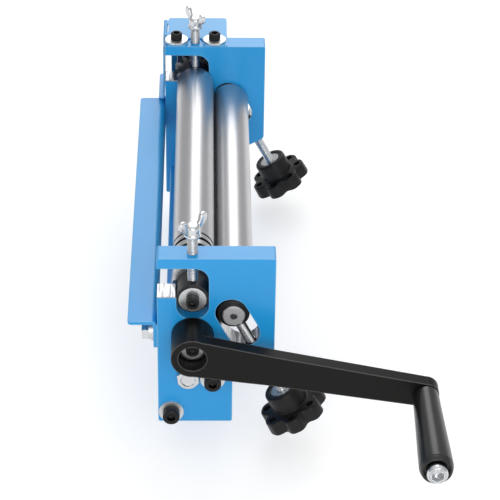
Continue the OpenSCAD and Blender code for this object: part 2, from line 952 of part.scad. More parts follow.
// Tapered grip with a rounded neck, a rounded rim and a recess for the bolt's head
module hand_grip() {
    color(black)
        face_crank(grip_x, grip_in, grip_z)
            rotate_extrude()
                polygon(rounded([
                    [grip_bolt_d / 2 + run_gap, 0, 0],
                    [grip_near_d / 2 - 0.3, 0, 1.5],
                    [grip_near_d / 2 + 0.1, 10, 30],
                    [grip_far_d / 2 - 0.1, grip_l - 12, 60],
                    [grip_far_d / 2, grip_l, 2.4],
                    [grip_head_d / 2 + 2, grip_l, 0.8],
                    [grip_head_d / 2 + 1.2, grip_l - grip_recess - seat_gap, 0],
                    [grip_bolt_d / 2 + run_gap, grip_l - grip_recess - seat_gap, 0]
                ], 8));
}

// Outline of one wing and its half of the hub
module wing_outline() {
    polygon(rounded([
        [0, 0, 0],
        [4.6, 0.4, 0],
        [8.2, 4.2, 3],
        [wing_reach, 8.6, 3],
        [wing_reach - 0.6, 15.6, 2.6],
        [wing_reach - 6.6, 15, 2.6],
        [3.4, 6.8, 2],
        [0, 6.8, 0]
    ], 5));
}

// Wing screw with its collar at z = 0, stem of length l hanging down
module wing_screw(l) {
    tip = 1.2;
    translate([0, 0, -l + tip])
        cylinder(d = adjust_d, h = l - tip);
    translate([0, 0, -l])
        cylinder(d1 = adjust_d - 2 * tip, d2 = adjust_d, h = tip);
    cylinder(d = 12, h = 2.5);
    translate([0, 0, 2.5])
        cylinder(d1 = 11, d2 = 8, h = 7);
    for (side = [0, 180])
        rotate(side)
            translate([0, 1.7, 2])
                rotate([90, 0, 0])
                    linear_extrude(3.4)
                        wing_outline();
}

wing_l = wing_stem + frame_h - (upper_z + bush_d / 2 - wing_seat);

module wing_screw_crank_end() {
    color(zinc)
        translate([axis_x, -y_mid, frame_h + wing_stem])
            rotate(wing_turn_crank)
                wing_screw(wing_l);
}

module wing_screw_gear_end() {
    color(zinc)
        translate([axis_x, y_mid, frame_h + wing_stem])
            rotate(wing_turn_gear)
                wing_screw(wing_l);
}

module knob_stud(y) {
    tip = 1.2;
    in_insert = insert_l - 2;
    color(zinc)
        along_slot(y) {
            translate([0, 0, -knob_top - in_insert])
                cylinder(d = adjust_d, h = knob_top + in_insert - stud_tip - tip);
            translate([0, 0, -stud_tip - tip])
                cylinder(d1 = adjust_d, d2 = adjust_d - 2 * tip, h = tip);
        }
}

module knob_insert(y) {
    color(zinc)
        along_slot(y)
            translate([0, 0, -knob_top - insert_l])
                difference() {
                    cylinder(d = insert_d, h = insert_l - 0.6);
                    translate([0, 0, 2 - run_gap])
                        cylinder(d = adjust_d + 2 * run_gap, h = insert_l);
                }
}

// Edge of the lobed disc: wide lobes with narrow hollows between them
function lobe_r(a) = knob_d / 2 - lobe_depth * pow((1 - cos(lobes * a)) / 2, 2);

module star_knob(y, turn) {
    bevel = 1;
    color(black)
        along_slot(y)
            translate([0, 0, -knob_base])
                difference() {
                    union() {
                        rotate(turn)
                            linear_extrude(knob_disc_t)
                                polygon([for (i = [0:119]) polar(lobe_r(i * 3), i * 3)]);
                        cylinder(d = knob_neck_d, h = knob_disc_t + knob_neck_l - bevel);
                        translate([0, 0, knob_disc_t + knob_neck_l - bevel])
                            cylinder(d1 = knob_neck_d, d2 = knob_neck_d - 2 * bevel, h = bevel);
                    }
                    translate([0, 0, knob_disc_t + knob_neck_l - insert_l - run_gap])
                        cylinder(d = insert_d + 2 * run_gap, h = insert_l + past);
                    for (i = [0:lobes - 1])
                        rotate(turn + i * 360 / lobes)
                            translate([(knob_d + knob_neck_d) / 4, 0, -past])
                                cylinder(d = lobe_hole_d, h = knob_disc_t + 2 * past, $fn = 24);
                }
}

module knob_stud_crank_end() { knob_stud(-stud_y); }
module knob_insert_crank_end() { knob_insert(-stud_y); }
module star_knob_crank_end() { star_knob(-stud_y, 14); }
module knob_stud_gear_end() { knob_stud(stud_y); }
module knob_insert_gear_end() { knob_insert(stud_y); }
module star_knob_gear_end() { star_knob(stud_y, -1.5); }

// Top plate of the cover, screwed down on the gear end frame
module cover_top_outline() {
    side = axis_x - cover_notch_w / 2;
    far = axis_x + cover_notch_w / 2;
    difference() {
        polygon(rounded([
            [cover_x0, y_inner, 1],
            [side - 2, y_inner, 0],
            [side, y_inner + 3, 0],
            [side, y_mid, 0],
            [far, y_mid, 0],
            [far, y_inner + 3, 0],
            [far + 2, y_inner, 0],
            [cover_x1, y_inner, 1],
            [cover_x1, cover_y1, 3],
            [cover_x0, cover_y1, 3]
        ]));
        translate([axis_x, y_mid])
            circle(d = cover_notch_w);
        for (x = [0, cover_screw_gap])
            translate([x, y_mid])
                circle(d = small_screw + 2 * run_gap);
    }
}

// Hinge knuckle from y0 to y1 round the flap's pin, with a bore of the given diameter
module knuckle(y0, y1, bore) {
    difference() {
        rod_y(hinge_x, hinge_z, y0, y1, knuckle_d);
        rod_y(hinge_x, hinge_z, y0 - past, y1 + past, bore);
    }
}

// Leaf of a cover knuckle, reaching from its top plate round the pin's top
module cover_knuckle(y0, y1) {
    difference() {
        union() {
            rod_y(hinge_x, hinge_z, y0, y1, knuckle_d);
            translate([hinge_x, y0, frame_h])
                cube([cover_x0 + 2 - hinge_x, y1 - y0, cover_t]);
        }
        rod_y(hinge_x, hinge_z, y0 - past, y1 + past, flap_pin_d);
    }
}

// Folded guard over the gears, open to the front where the flap closes it
module gear_cover() {
    y0 = y_outer + seat_gap;
    color(cover_blue) {
        translate([0, 0, frame_h])
            linear_extrude(cover_t)
                cover_top_outline();
        cover_knuckle(flap_y0, flap_mid_y0 - seat_gap);
        cover_knuckle(flap_mid_y1 + seat_gap, flap_y1);
        difference() {
            translate([0, 0, cover_floor_z])
                linear_extrude(frame_h - cover_floor_z)
                    polygon(rounded([
                        [cover_x0, y0, 0],
                        [cover_x1, y0, 0],
                        [cover_x1, cover_y1, 3],
                        [cover_x0, cover_y1, 3]
                    ]));
            translate([0, 0, cover_floor_z + cover_t])
                linear_extrude(frame_h - cover_floor_z)
                    polygon(rounded([
                        [cover_x0 + cover_t, y0 - past, 0],
                        [cover_x1 - cover_t, y0 - past, 0],
                        [cover_x1 - cover_t, cover_y1 - cover_t, 1.5],
                        [cover_x0 + cover_t, cover_y1 - cover_t, 1.5]
                    ]));
            // Open front side and corner slit
            translate([cover_x0 - past, y0 - past, cover_sill_z])
                cube([cover_slit + past, cover_depth + 2 * past, frame_h]);
        }
    }
}

module flap_hinge_pin() {
    color(zinc)
        rod_y(hinge_x, hinge_z, flap_y0, flap_y1, flap_pin_d);
}

// Hanging flap of the cover, with a middle knuckle and a turned-out finger lip
module cover_flap() {
    x_out = hinge_x - knuckle_d / 2;
    color(cover_blue)
        difference() {
            union() {
                knuckle(flap_mid_y0, flap_mid_y1, flap_pin_d + 2 * run_gap);
                difference() {
                    slab_y(sheet_y0, flap_y1 - sheet_y0)
                        polygon(rounded([
                            [x_out, hinge_z, 0],
                            [x_out, flap_low_z + flap_t, 1],
                            [x_out - flap_lip, flap_low_z + flap_t, 0.4],
                            [x_out - flap_lip, flap_low_z, 0.4],
                            [x_out + flap_t, flap_low_z, 1.6],
                            [x_out + flap_t, hinge_z, 0]
                        ], 5));
                    // Room for the cover's own knuckles
                    for (y = [sheet_y0 - past, flap_mid_y1])
                        let (end = y < flap_mid_y0 ? flap_mid_y0 : flap_y1 + past)
                            translate([x_out - past, y, hinge_z - knuckle_d / 2 - seat_gap])
                                cube([flap_t + 2 * past, end - y, knuckle_d]);
                    // Rounded ends of the finger lip
                    for (y = [sheet_y0, flap_y1])
                        translate([x_out - flap_lip, y, flap_low_z])
                            rotate(45)
                                cube([3, 3, 4], center = true);
                }
            }
            rod_y(hinge_x, hinge_z, flap_y0 - past, flap_y1 + past, flap_pin_d + 2 * run_gap);
        }
}

module cover_washers() {
    color(zinc)
        for (x = [0, cover_screw_gap])
            translate([x, y_mid, frame_h + cover_t])
                washer(cover_washer_d, small_screw + 2 * run_gap, washer_t);
}

module cover_screws() {
    color(black)
        for (x = [0, cover_screw_gap])
            translate([x, y_mid, frame_h + cover_t + washer_t])
                cap_screw(small_screw, washer_t + cover_t + 6.5, small_screw);
}

crank_end_frame();
gear_end_frame();
front_angle();
front_tie_bar();
rear_tie_bar();
tie_cap_screws();
tie_washers();
tie_hex_bolts();
angle_bolts();
angle_washers();
angle_spring_washers();
drive_bushes();
gear_cover();
cover_screws();
cover_washers();
flap_hinge_pin();
cover_flap();
drive_roll();
drive_gear();
drive_gear_key();
drive_gear_washer();
drive_gear_screw();
crank_arm();
crank_key();
crank_washer();
crank_screw();
grip_bolt();
hand_grip();
upper_roll();
upper_gear();
upper_gear_key();
upper_end_washers();
upper_end_screws();
upper_bushes();
wing_screw_crank_end();
wing_screw_gear_end();
rear_roll();
rear_bushes();
knob_stud_crank_end();
knob_insert_crank_end();
star_knob_crank_end();
knob_stud_gear_end();
knob_insert_gear_end();
star_knob_gear_end();
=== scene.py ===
import json
import math

import bmesh
import bpy
from mathutils import Matrix, Vector


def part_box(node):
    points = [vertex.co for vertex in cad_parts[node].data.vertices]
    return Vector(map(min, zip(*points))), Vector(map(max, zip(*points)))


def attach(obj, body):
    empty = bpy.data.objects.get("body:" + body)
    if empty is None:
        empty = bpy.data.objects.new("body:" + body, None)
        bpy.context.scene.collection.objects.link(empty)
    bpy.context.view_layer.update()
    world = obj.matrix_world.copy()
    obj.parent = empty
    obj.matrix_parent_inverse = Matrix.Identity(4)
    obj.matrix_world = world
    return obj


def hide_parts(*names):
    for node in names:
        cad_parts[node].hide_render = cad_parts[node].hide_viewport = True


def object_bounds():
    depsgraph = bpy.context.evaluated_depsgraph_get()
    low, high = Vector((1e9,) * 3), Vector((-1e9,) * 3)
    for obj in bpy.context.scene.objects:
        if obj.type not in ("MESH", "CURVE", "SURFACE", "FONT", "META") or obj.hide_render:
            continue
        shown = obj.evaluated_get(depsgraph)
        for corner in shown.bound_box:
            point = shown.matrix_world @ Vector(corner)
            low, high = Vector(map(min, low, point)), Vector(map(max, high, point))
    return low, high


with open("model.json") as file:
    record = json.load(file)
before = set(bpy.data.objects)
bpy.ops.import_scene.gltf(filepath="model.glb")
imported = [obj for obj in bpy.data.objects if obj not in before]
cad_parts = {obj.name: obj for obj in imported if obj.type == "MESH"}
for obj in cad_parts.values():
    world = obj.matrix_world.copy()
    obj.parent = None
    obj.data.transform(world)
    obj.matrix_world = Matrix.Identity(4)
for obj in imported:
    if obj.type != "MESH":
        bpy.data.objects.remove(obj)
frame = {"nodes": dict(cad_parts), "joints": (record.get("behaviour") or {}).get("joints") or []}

bl_info = {
    "name": "Bench Slip Roll",
    "version": (1, 0, 0),
    "blender": (4, 5, 0),
    "location": "View3D > Sidebar > Slip Roll",
    "description": "Dresses the packed frame of a hand-cranked bench slip roll",
    "category": "Object",
}

MM = 0.001
LOADED_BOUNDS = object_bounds()
NODES = frame["nodes"]
ENDS = ("crank_end", "gear_end")


# Measures read from the frame

def corners(node):
    """Lowest and highest corner of a CAD node, as vectors in metres."""
    low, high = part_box(node)
    return Vector(low), Vector(high)


def middle(node):
    low, high = corners(node)
    return (low + high) / 2


def joint(name):
    return next(j for j in frame["joints"] if j["name"] == name)


def groove_bands(node):
    """Where the grooves in a roll's barrel begin and end along Y, read from its mesh."""
    end_left_out = 10 * MM
    least_gap = 2 * MM
    low, high = corners(node)
    axis, barrel = (low + high) / 2, (high.x - low.x) / 2
    points = [(math.hypot(v.co.x - axis.x, v.co.z - axis.z) / barrel, v.co.y)
              for v in NODES[node].data.vertices]
    start = min(y for share, y in points if share > 0.999) + end_left_out
    sunk = sorted(y for share, y in points if 0.8 < share < 0.995 and start < y < -start)
    bands = []
    for y in sunk:
        if bands and y - bands[-1][1] < least_gap:
            bands[-1][1] = y
        else:
            bands.append([y, y])
    return bands


# Colours and node trees

def linear(hex_colour):
    """An sRGB hex colour as linear RGBA."""
    parts = [int(hex_colour[i:i + 2], 16) / 255 for i in (1, 3, 5)]
    return tuple(
        c / 12.92 if c <= 0.04045 else ((c + 0.055) / 1.055) ** 2.4 for c in parts) + (1.0,)


def scaled(colour, factor):
    return tuple(min(1.0, c * factor) for c in colour[:3]) + (1.0,)


WHITE = (1.0, 1.0, 1.0, 1.0)
BLACK = (0.0, 0.0, 0.0, 1.0)
# Numbers of the sockets of a Mix node that mixes colours
MIX_A, MIX_B, MIX_RESULT = 6, 7, 2


def add(tree, kind, inputs=None, **settings):
    """Adds a node with its settings. Its inputs go by name or number, and each gets a value or
    a link from a socket. A node given as an input stands for its first output."""
    node = tree.nodes.new(kind)
    for key, value in settings.items():
        setattr(node, key, value)
    for key, value in (inputs or {}).items():
        if isinstance(value, bpy.types.Node):
            value = value.outputs[0]
        if isinstance(value, bpy.types.NodeSocket):
            tree.links.new(value, node.inputs[key])
        else:
            node.inputs[key].default_value = value
    return node


def new_material(name, colour, **surface):
    """A material with a Principled shader; returns it with its tree and shader."""
    material = bpy.data.materials.new(name)
    material.use_nodes = True
    tree = material.node_tree
    shader = tree.nodes["Principled BSDF"]
    shader.inputs["Base Color"].default_value = colour
    for key, value in surface.items():
        shader.inputs[key.replace("_", " ")].default_value = value
    return material, tree, shader


def object_noise(tree, size_mm, detail=2.0, stretch=(1.0, 1.0, 1.0)):
    """Noise on Object coordinates whose grains are size_mm across before the stretch."""
    place = add(tree, "ShaderNodeTexCoord")
    grains = add(tree, "ShaderNodeMapping", {
        "Vector": place.outputs["Object"],
        "Scale": tuple(1 / (size_mm * MM * s) for s in stretch)})
    return add(tree, "ShaderNodeTexNoise", {"Vector": grains, "Scale": 1.0, "Detail": detail})


def rough_between(tree, shader, noise, low, high):
    """Roughness that follows a noise, most of whose values lie between 0.3 and 0.7."""
    rough = add(tree, "ShaderNodeMapRange", {
        "Value": noise, "From Min": 0.3, "From Max": 0.7, "To Min": low, "To Max": high})
    tree.links.new(rough.outputs[0], shader.inputs["Roughness"])


def shade_between(tree, shader, noise, dark, light):
    """Base colour that drifts between two close shades."""
    mix = add(tree, "ShaderNodeMix", {"Factor": noise, MIX_A: dark, MIX_B: light},
              data_type="RGBA")
    tree.links.new(mix.outputs[MIX_RESULT], shader.inputs["Base Color"])


def bump(tree, shader, noise, height_mm, edge_mm):
    """Small relief over edges that look rounded to a radius."""
    rounding = add(tree, "ShaderNodeBevel", {"Radius": edge_mm * MM}, samples=4)
    relief = add(tree, "ShaderNodeBump", {
        "Strength": 1.0, "Distance": height_mm * MM, "Height": noise, "Normal": rounding})
    tree.links.new(relief.outputs[0], shader.inputs["Normal"])


def paint_edge_highlights(tree, shader, colour, width_mm, strength):
    """Paints a highlight into the base colour: a fine lighter line along sharp edges, where a
    rounded normal and the flat one part by more than about 10 degrees."""
    rounding = add(tree, "ShaderNodeBevel", {"Radius": width_mm * MM}, samples=4)
    flat = add(tree, "ShaderNodeNewGeometry").outputs["Normal"]
    bend = add(tree, "ShaderNodeVectorMath", {0: rounding, 1: flat}, operation="DOT_PRODUCT")
    edge = add(tree, "ShaderNodeMapRange", {
        "Value": bend.outputs["Value"], "From Min": 0.98, "From Max": 0.9,
        "To Min": 0.0, "To Max": strength})
    paint = shader.inputs["Base Color"].links[0].from_socket
    mix = add(tree, "ShaderNodeMix", {"Factor": edge, MIX_A: paint, MIX_B: colour},
              data_type="RGBA")
    tree.links.new(mix.outputs[MIX_RESULT], shader.inputs["Base Color"])


def inside_boxes(tree, boxes):
    """A factor that is 1 inside any of the boxes in the row frame, and 0 outside them."""
    place = add(tree, "ShaderNodeTexCoord")
    at = add(tree, "ShaderNodeSeparateXYZ", {"Vector": place.outputs["Object"]}).outputs
    inside = None
    for low, high in boxes:
        within = None
        for axis in range(3):
            near = add(tree, "ShaderNodeMath", {
                0: at[axis], 1: (high[axis] + low[axis]) / 2, 2: (high[axis] - low[axis]) / 2},
                operation="COMPARE")
            within = near if within is None else add(
                tree, "ShaderNodeMath", {0: within, 1: near}, operation="MULTIPLY")
        inside = within if inside is None else add(
            tree, "ShaderNodeMath", {0: inside, 1: within}, operation="MAXIMUM")
    return inside


# Finishes

def powder_coat(name, colour, edge_highlight_colour, roughness=0.35, gloss=0.5, coat_weight=0.2):
    """Sprayed and baked paint on steel plate: even colour, a faint orange peel and soft edges. A
    fine lighter line along the edges is a painted highlight, standing partly for paint that pulls
    thin over an edge."""
    material, tree, shader = new_material(
        name, colour, Roughness=roughness, Specular_IOR_Level=gloss,
        Coat_Weight=coat_weight, Coat_Roughness=0.18)
    drift = object_noise(tree, 45, detail=1.0)
    shade_between(tree, shader, drift, scaled(colour, 0.94), scaled(colour, 1.06))
    # A fine lighter line along the edges: painted highlight, partly for paint pulled thin there
    paint_edge_highlights(tree, shader, edge_highlight_colour, width_mm=1.3, strength=0.95)
    peel = object_noise(tree, 2.2)
    bump(tree, shader, peel, height_mm=0.012, edge_mm=0.7)
    return material


def bare_steel(material, boxes):
    """Bares steel inside boxes of a painted plate, where it was milled after painting:
    streaked and shiny beside the paint."""
    tree = material.node_tree
    shader = tree.nodes["Principled BSDF"]
    inside = inside_boxes(tree, boxes)
    # The cutter's feed marks run through the plate's thickness, and are drawn wide to show
    marks = object_noise(tree, 1.6, detail=1.0, stretch=(1, 14, 1))
    streaks = add(tree, "ShaderNodeMapRange", {
        "Value": marks, "From Min": 0.35, "From Max": 0.65})
    steel = add(tree, "ShaderNodeMix", {
        "Factor": streaks, MIX_A: linear("#707276"), MIX_B: linear("#BFC1C4")},
        data_type="RGBA")
    painted = shader.inputs["Base Color"].links[0].from_socket
    surface = add(tree, "ShaderNodeMix", {
        "Factor": inside, MIX_A: painted, MIX_B: steel.outputs[MIX_RESULT]}, data_type="RGBA")
    tree.links.new(surface.outputs[MIX_RESULT], shader.inputs["Base Color"])
    tree.links.new(inside.outputs[0], shader.inputs["Metallic"])
    rough = add(tree, "ShaderNodeMapRange", {
        "Value": inside, "To Min": shader.inputs["Roughness"].default_value, "To Max": 0.2})
    tree.links.new(rough.outputs[0], shader.inputs["Roughness"])


def ground_steel(name, colour):
    """Centreless-ground and polished roll steel: bright, with fine rings round the roll."""
    material, tree, shader = new_material(name, colour, Metallic=1.0)
    # Real grinding rings are under 0.1 mm apart; they are drawn 0.5 mm apart to show
    rings = object_noise(tree, 0.5, detail=3.0, stretch=(60, 1, 60))
    rough_between(tree, shader, rings, 0.29, 0.37)
    bump(tree, shader, rings, height_mm=0.0015, edge_mm=0.3)
    return material


def turned_ends(material, node):
    """Leaves a roll's two end faces as turned: duller than its ground barrel."""
    turned_roughness, turned_metal = 0.55, 0.6
    tree = material.node_tree
    shader = tree.nodes["Principled BSDF"]
    low, high = corners(node)
    around = Vector((1, 0.3, 1)) * MM
    either = inside_boxes(tree, [
        (Vector((low.x, y, low.z)) - around, Vector((high.x, y, high.z)) + around)
        for y in (low.y, high.y)])
    ground = shader.inputs["Roughness"].links[0].from_socket
    rough = add(tree, "ShaderNodeMapRange", {
        "Value": either, "To Min": ground, "To Max": turned_roughness})
    tree.links.new(rough.outputs[0], shader.inputs["Roughness"])
    metal = add(tree, "ShaderNodeMapRange", {
        "Value": either, "To Min": 1.0, "To Max": turned_metal})
    tree.links.new(metal.outputs[0], shader.inputs["Metallic"])


def shaded_grooves(material, node, dark):
    """Paints a roll's turned grooves dark: painted shade in the grooves."""
    tree = material.node_tree
    shader = tree.nodes["Principled BSDF"]
    low, high = corners(node)
    inside = inside_boxes(tree, [
        ((low.x - MM, first, low.z - MM), (high.x + MM, last, high.z + MM))
        for first, last in groove_bands(node)])
    mix = add(tree, "ShaderNodeMix", {
        "Factor": inside, MIX_A: tuple(shader.inputs["Base Color"].default_value),
        MIX_B: dark}, data_type="RGBA")
    tree.links.new(mix.outputs[MIX_RESULT], shader.inputs["Base Color"])


def cut_steel(name, colour):
    """Hobbed and turned steel: greyer than ground steel, with tool marks."""
    material, tree, shader = new_material(name, colour, Metallic=1.0)
    marks = object_noise(tree, 0.8, detail=3.0, stretch=(1, 8, 1))
    rough_between(tree, shader, marks, 0.3, 0.45)
    bump(tree, shader, marks, height_mm=0.006, edge_mm=0.25)
    return material


def zinc_plate(name, colour, smooth=0.22, cloudy=0.3):
    """Bright zinc plate on screws and washers: silvery, and slightly cloudy between a smooth
    and a cloudy roughness."""
    material, tree, shader = new_material(name, colour, Metallic=1.0)
    clouds = object_noise(tree, 5, detail=1.0)
    shade_between(tree, shader, clouds, scaled(colour, 0.95), scaled(colour, 1.04))
    rough_between(tree, shader, clouds, smooth, cloudy)
    bump(tree, shader, clouds, height_mm=0.002, edge_mm=0.3)
    return material


def black_oxide(name, colour):
    """Oiled black oxide on alloy steel screws: near black with a dull metal gloss."""
    material, tree, shader = new_material(name, colour, Metallic=0.75)
    clouds = object_noise(tree, 1.6)
    rough_between(tree, shader, clouds, 0.3, 0.46)
    bump(tree, shader, clouds, height_mm=0.008, edge_mm=0.25)
    return material


def moulded(name, colour, roughness, grain_mm, relief_mm, gloss=0.5):
    """Injection-moulded plastic with a spark-eroded grain: an even, slightly broken sheen."""
    material, tree, shader = new_material(
        name, colour, Roughness=roughness, Specular_IOR_Level=gloss)
    # Real grain is 0.1 to 0.3 mm wide, and is drawn coarser to show
    grain = object_noise(tree, grain_mm, detail=3.0)
    drift = object_noise(tree, 18, detail=1.0)
    shade_between(tree, shader, drift, scaled(colour, 0.9), scaled(colour, 1.15))
    bump(tree, shader, grain, relief_mm, edge_mm=0.4)
    return material


FINISHES = {}


def coat(node, name):
    """Gives a CAD node a finish in its own material slots."""
    part = NODES[node]
    if not part.material_slots:
        part.data.materials.append(None)
    for place in part.material_slots:
        place.link = "OBJECT"
        place.material = FINISHES[name]


# Meshes

def axes_at(origin, along):
    """Placement whose Z points along a direction, which isn't X, and whose X stays near X."""
    z = Vector(along).normalized()
    y = z.cross(Vector((1, 0, 0))).normalized()
    x = y.cross(z)
    turn = Matrix((x, y, z)).transposed().to_4x4()
    return Matrix.Translation(Vector(origin)) @ turn


def put(name, mesh, body, material, stands_for=(), place=None, sharp=32):
    if place is not None:
        mesh.transform(place)
    for face in mesh.polygons:
        face.use_smooth = True
    mesh.set_sharp_from_angle(angle=math.radians(sharp))
    piece = bpy.data.objects.new(name, mesh)
    bpy.context.scene.collection.objects.link(piece)
    mesh.materials.clear()
    mesh.materials.append(FINISHES[material])
    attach(piece, body)
    if stands_for:
        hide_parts(*stands_for)


def skin(rings, tube=False):
    """A mesh that joins rings of points in order, each ring with as many points. Its two ends
    are capped, or joined to each other in a tube."""
    shell = bmesh.new()
    rows = [[shell.verts.new(point) for point in points] for points in rings]
    count = len(rows[0])
    if tube:
        rows.append(rows[0])
    for low, high in zip(rows, rows[1:]):
        for i in range(count):
            j = (i + 1) % count
            shell.faces.new((low[i], low[j], high[j], high[i]))
    if not tube:
        shell.faces.new(rows[0][::-1])
        shell.faces.new(rows[-1])
    bmesh.ops.recalc_face_normals(shell, faces=shell.faces)
    mesh = bpy.data.meshes.new("skin")
    shell.to_mesh(mesh)
    shell.free()
    return mesh


def from_flat(angle):
    """Angle from the middle of the nearest side of a hexagon, one of which lies at angle 0."""
    return (angle + math.pi / 6) % (math.pi / 3) - math.pi / 6


def ring(radius, height, count, hexed=False):
    """Ring of points round Z. The radius is a number or a function of the angle, and hexed
    makes a hexagon round the circle of that radius."""
    points = []
    for i in range(count):
        angle = 2 * math.pi * i / count
        r = radius(angle) if callable(radius) else radius
        if hexed:
            r = r / math.cos(from_flat(angle))
        points.append((r * math.cos(angle), r * math.sin(angle), height))
    return points


def lathe(profile, count):
    """Rings round Z, one for each (radius, height) pair in millimetres."""
    return [ring(r * MM, z * MM, count) for r, z in profile]


def rounded_profile(points):
    """Corners given as (radius, height, fillet) in millimetres, with the fillets drawn out."""
    steps = 5
    out = []
    for i, (x, y, fillet) in enumerate(points):
        if fillet <= 0 or i in (0, len(points) - 1):
            out.append((x, y))
            continue
        here = Vector((x, y))
        back = Vector(points[i - 1][:2]) - here
        on = Vector(points[i + 1][:2]) - here
        reach = min(fillet, back.length * 0.49, on.length * 0.49)
        start, end = here + back.normalized() * reach, here + on.normalized() * reach
        for k in range(steps + 1):
            t = k / steps
            spot = start * (1 - t) ** 2 + here * 2 * t * (1 - t) + end * t ** 2
            out.append((spot.x, spot.y))
    return out


def joined(meshes):
    """One mesh of several, which are removed."""
    whole = bmesh.new()
    for mesh in meshes:
        whole.from_mesh(mesh)
        bpy.data.meshes.remove(mesh)
    out = bpy.data.meshes.new("joined")
    whole.to_mesh(out)
    whole.free()
    return out


def work_object(name, mesh):
    worker = bpy.data.objects.new(name, mesh)
    bpy.context.scene.collection.objects.link(worker)
    return worker


def plain(worker):
    """The evaluated mesh of a work object, which is then removed."""
    bpy.context.view_layer.update()
    seen = worker.evaluated_get(bpy.context.evaluated_depsgraph_get())
    mesh = bpy.data.meshes.new_from_object(seen)
    old = worker.data
    worker.modifiers.clear()
    bpy.data.objects.remove(worker)
    if old.users == 0:
        bpy.data.meshes.remove(old)
    return mesh


# Geometry nodes

def geometry_tree(name, sockets):
    """An empty geometry tree with a Geometry input and output and the named inputs."""
    tree = bpy.data.node_groups.new(name, "GeometryNodeTree")
    tree.interface.new_socket("Geometry", in_out="OUTPUT", socket_type="NodeSocketGeometry")
    tree.interface.new_socket("Geometry", in_out="INPUT", socket_type="NodeSocketGeometry")
    for label, kind in sockets:
        tree.interface.new_socket(label, in_out="INPUT", socket_type="NodeSocket" + kind)
    return tree


def run_tree(worker, tree, values):
    """Puts the tree on a work object, sets its inputs and returns the plain mesh."""
    modifier = worker.modifiers.new(tree.name, "NODES")
    modifier.node_group = tree
    for item in tree.interface.items_tree:
        if item.item_type == "SOCKET" and item.in_out == "INPUT" and item.name in values:
            modifier[item.identifier] = values[item.name]
    return plain(worker)


def thread_tree():
    """A rod with a V thread that follows a helix, from z = 0 down to its length. It is a grid
    one unit wide, rolled up: X is the share of a turn and Y runs up the rod."""
    tree = geometry_tree("screw_thread", (
        ("Diameter", "Float"), ("Pitch", "Float"), ("Depth", "Float"), ("Length", "Float"),
        ("Sides", "Int"), ("Rows", "Int"), ("Material", "Material")))
    given = add(tree, "NodeGroupInput").outputs
    columns = add(tree, "ShaderNodeMath", {0: given["Sides"], 1: 1.0}, operation="ADD")
    grid = add(tree, "GeometryNodeMeshGrid", {
        "Size X": 1.0, "Size Y": given["Length"],
        "Vertices X": columns, "Vertices Y": given["Rows"]})
    spot = add(tree, "GeometryNodeInputPosition")
    at = add(tree, "ShaderNodeSeparateXYZ", {0: spot}).outputs
    angle = add(tree, "ShaderNodeMath", {0: at[0], 1: 2 * math.pi}, operation="MULTIPLY")
    half = add(tree, "ShaderNodeMath", {0: given["Length"], 1: 0.5}, operation="MULTIPLY")
    down = add(tree, "ShaderNodeMath", {0: half, 1: at[1]}, operation="SUBTRACT")
    # A zigzag of one wave for each turn of the helix gives the V
    pitches = add(tree, "ShaderNodeMath", {0: down, 1: given["Pitch"]}, operation="DIVIDE")
    turns = add(tree, "ShaderNodeMath", {0: pitches, 1: at[0]}, operation="ADD")
    zigzag = add(tree, "ShaderNodeMath", {0: turns, 1: 0.5}, operation="PINGPONG")
    groove = add(tree, "ShaderNodeMath", {0: zigzag, 1: 2.0}, operation="MULTIPLY")
    cut = add(tree, "ShaderNodeMath", {0: given["Depth"], 1: groove}, operation="MULTIPLY")
    full = add(tree, "ShaderNodeMath", {0: given["Diameter"], 1: 2.0}, operation="DIVIDE")
    threaded = add(tree, "ShaderNodeMath", {0: full, 1: cut}, operation="SUBTRACT")
    # Both ends are chamfered down to the thread's root
    up = add(tree, "ShaderNodeMath", {0: given["Length"], 1: down}, operation="SUBTRACT")
    to_end = add(tree, "ShaderNodeMath", {0: down, 1: up}, operation="MINIMUM")
    root = add(tree, "ShaderNodeMath", {0: full, 1: given["Depth"]}, operation="SUBTRACT")
    chamfer = add(tree, "ShaderNodeMath", {0: root, 1: to_end}, operation="ADD")
    radius = add(tree, "ShaderNodeMath", {0: threaded, 1: chamfer}, operation="MINIMUM")
    cosine = add(tree, "ShaderNodeMath", {0: angle}, operation="COSINE")
    sine = add(tree, "ShaderNodeMath", {0: angle}, operation="SINE")
    x = add(tree, "ShaderNodeMath", {0: radius, 1: cosine}, operation="MULTIPLY")
    y = add(tree, "ShaderNodeMath", {0: radius, 1: sine}, operation="MULTIPLY")
    z = add(tree, "ShaderNodeMath", {0: down, 1: -1.0}, operation="MULTIPLY")
    place = add(tree, "ShaderNodeCombineXYZ", {0: x, 1: y, 2: z})
    rolled = add(tree, "GeometryNodeSetPosition", {"Geometry": grid, "Position": place})
    closed = add(tree, "GeometryNodeMergeByDistance", {"Geometry": rolled, "Distance": 1e-6})
    real = add(tree, "GeometryNodeRealizeInstances", {"Geometry": closed})
    painted = add(tree, "GeometryNodeSetMaterial", {
        "Geometry": real, "Material": given["Material"]})
    add(tree, "NodeGroupOutput", {0: painted})
    return tree


def copies_tree():
    """Copies of a shape on points, each turned to its point's own facing."""
    tree = geometry_tree("copies_on_points", (("Shape", "Object"), ("Material", "Material")))
    given = add(tree, "NodeGroupInput").outputs
    facing = add(tree, "GeometryNodeInputNamedAttribute", {"Name": "facing"},
                 data_type="FLOAT_VECTOR")
    turn = add(tree, "FunctionNodeAlignRotationToVector", {"Vector": facing}, axis="Z")
    shape = add(tree, "GeometryNodeObjectInfo", {"Object": given["Shape"]})
    points = add(tree, "GeometryNodeMeshToPoints", {"Mesh": given["Geometry"]})
    copied = add(tree, "GeometryNodeInstanceOnPoints", {
        "Points": points, "Instance": shape.outputs["Geometry"], "Rotation": turn})
    real = add(tree, "GeometryNodeRealizeInstances", {"Geometry": copied})
    painted = add(tree, "GeometryNodeSetMaterial", {
        "Geometry": real, "Material": given["Material"]})
    add(tree, "NodeGroupOutput", {0: painted})
    return tree


TREES = {}


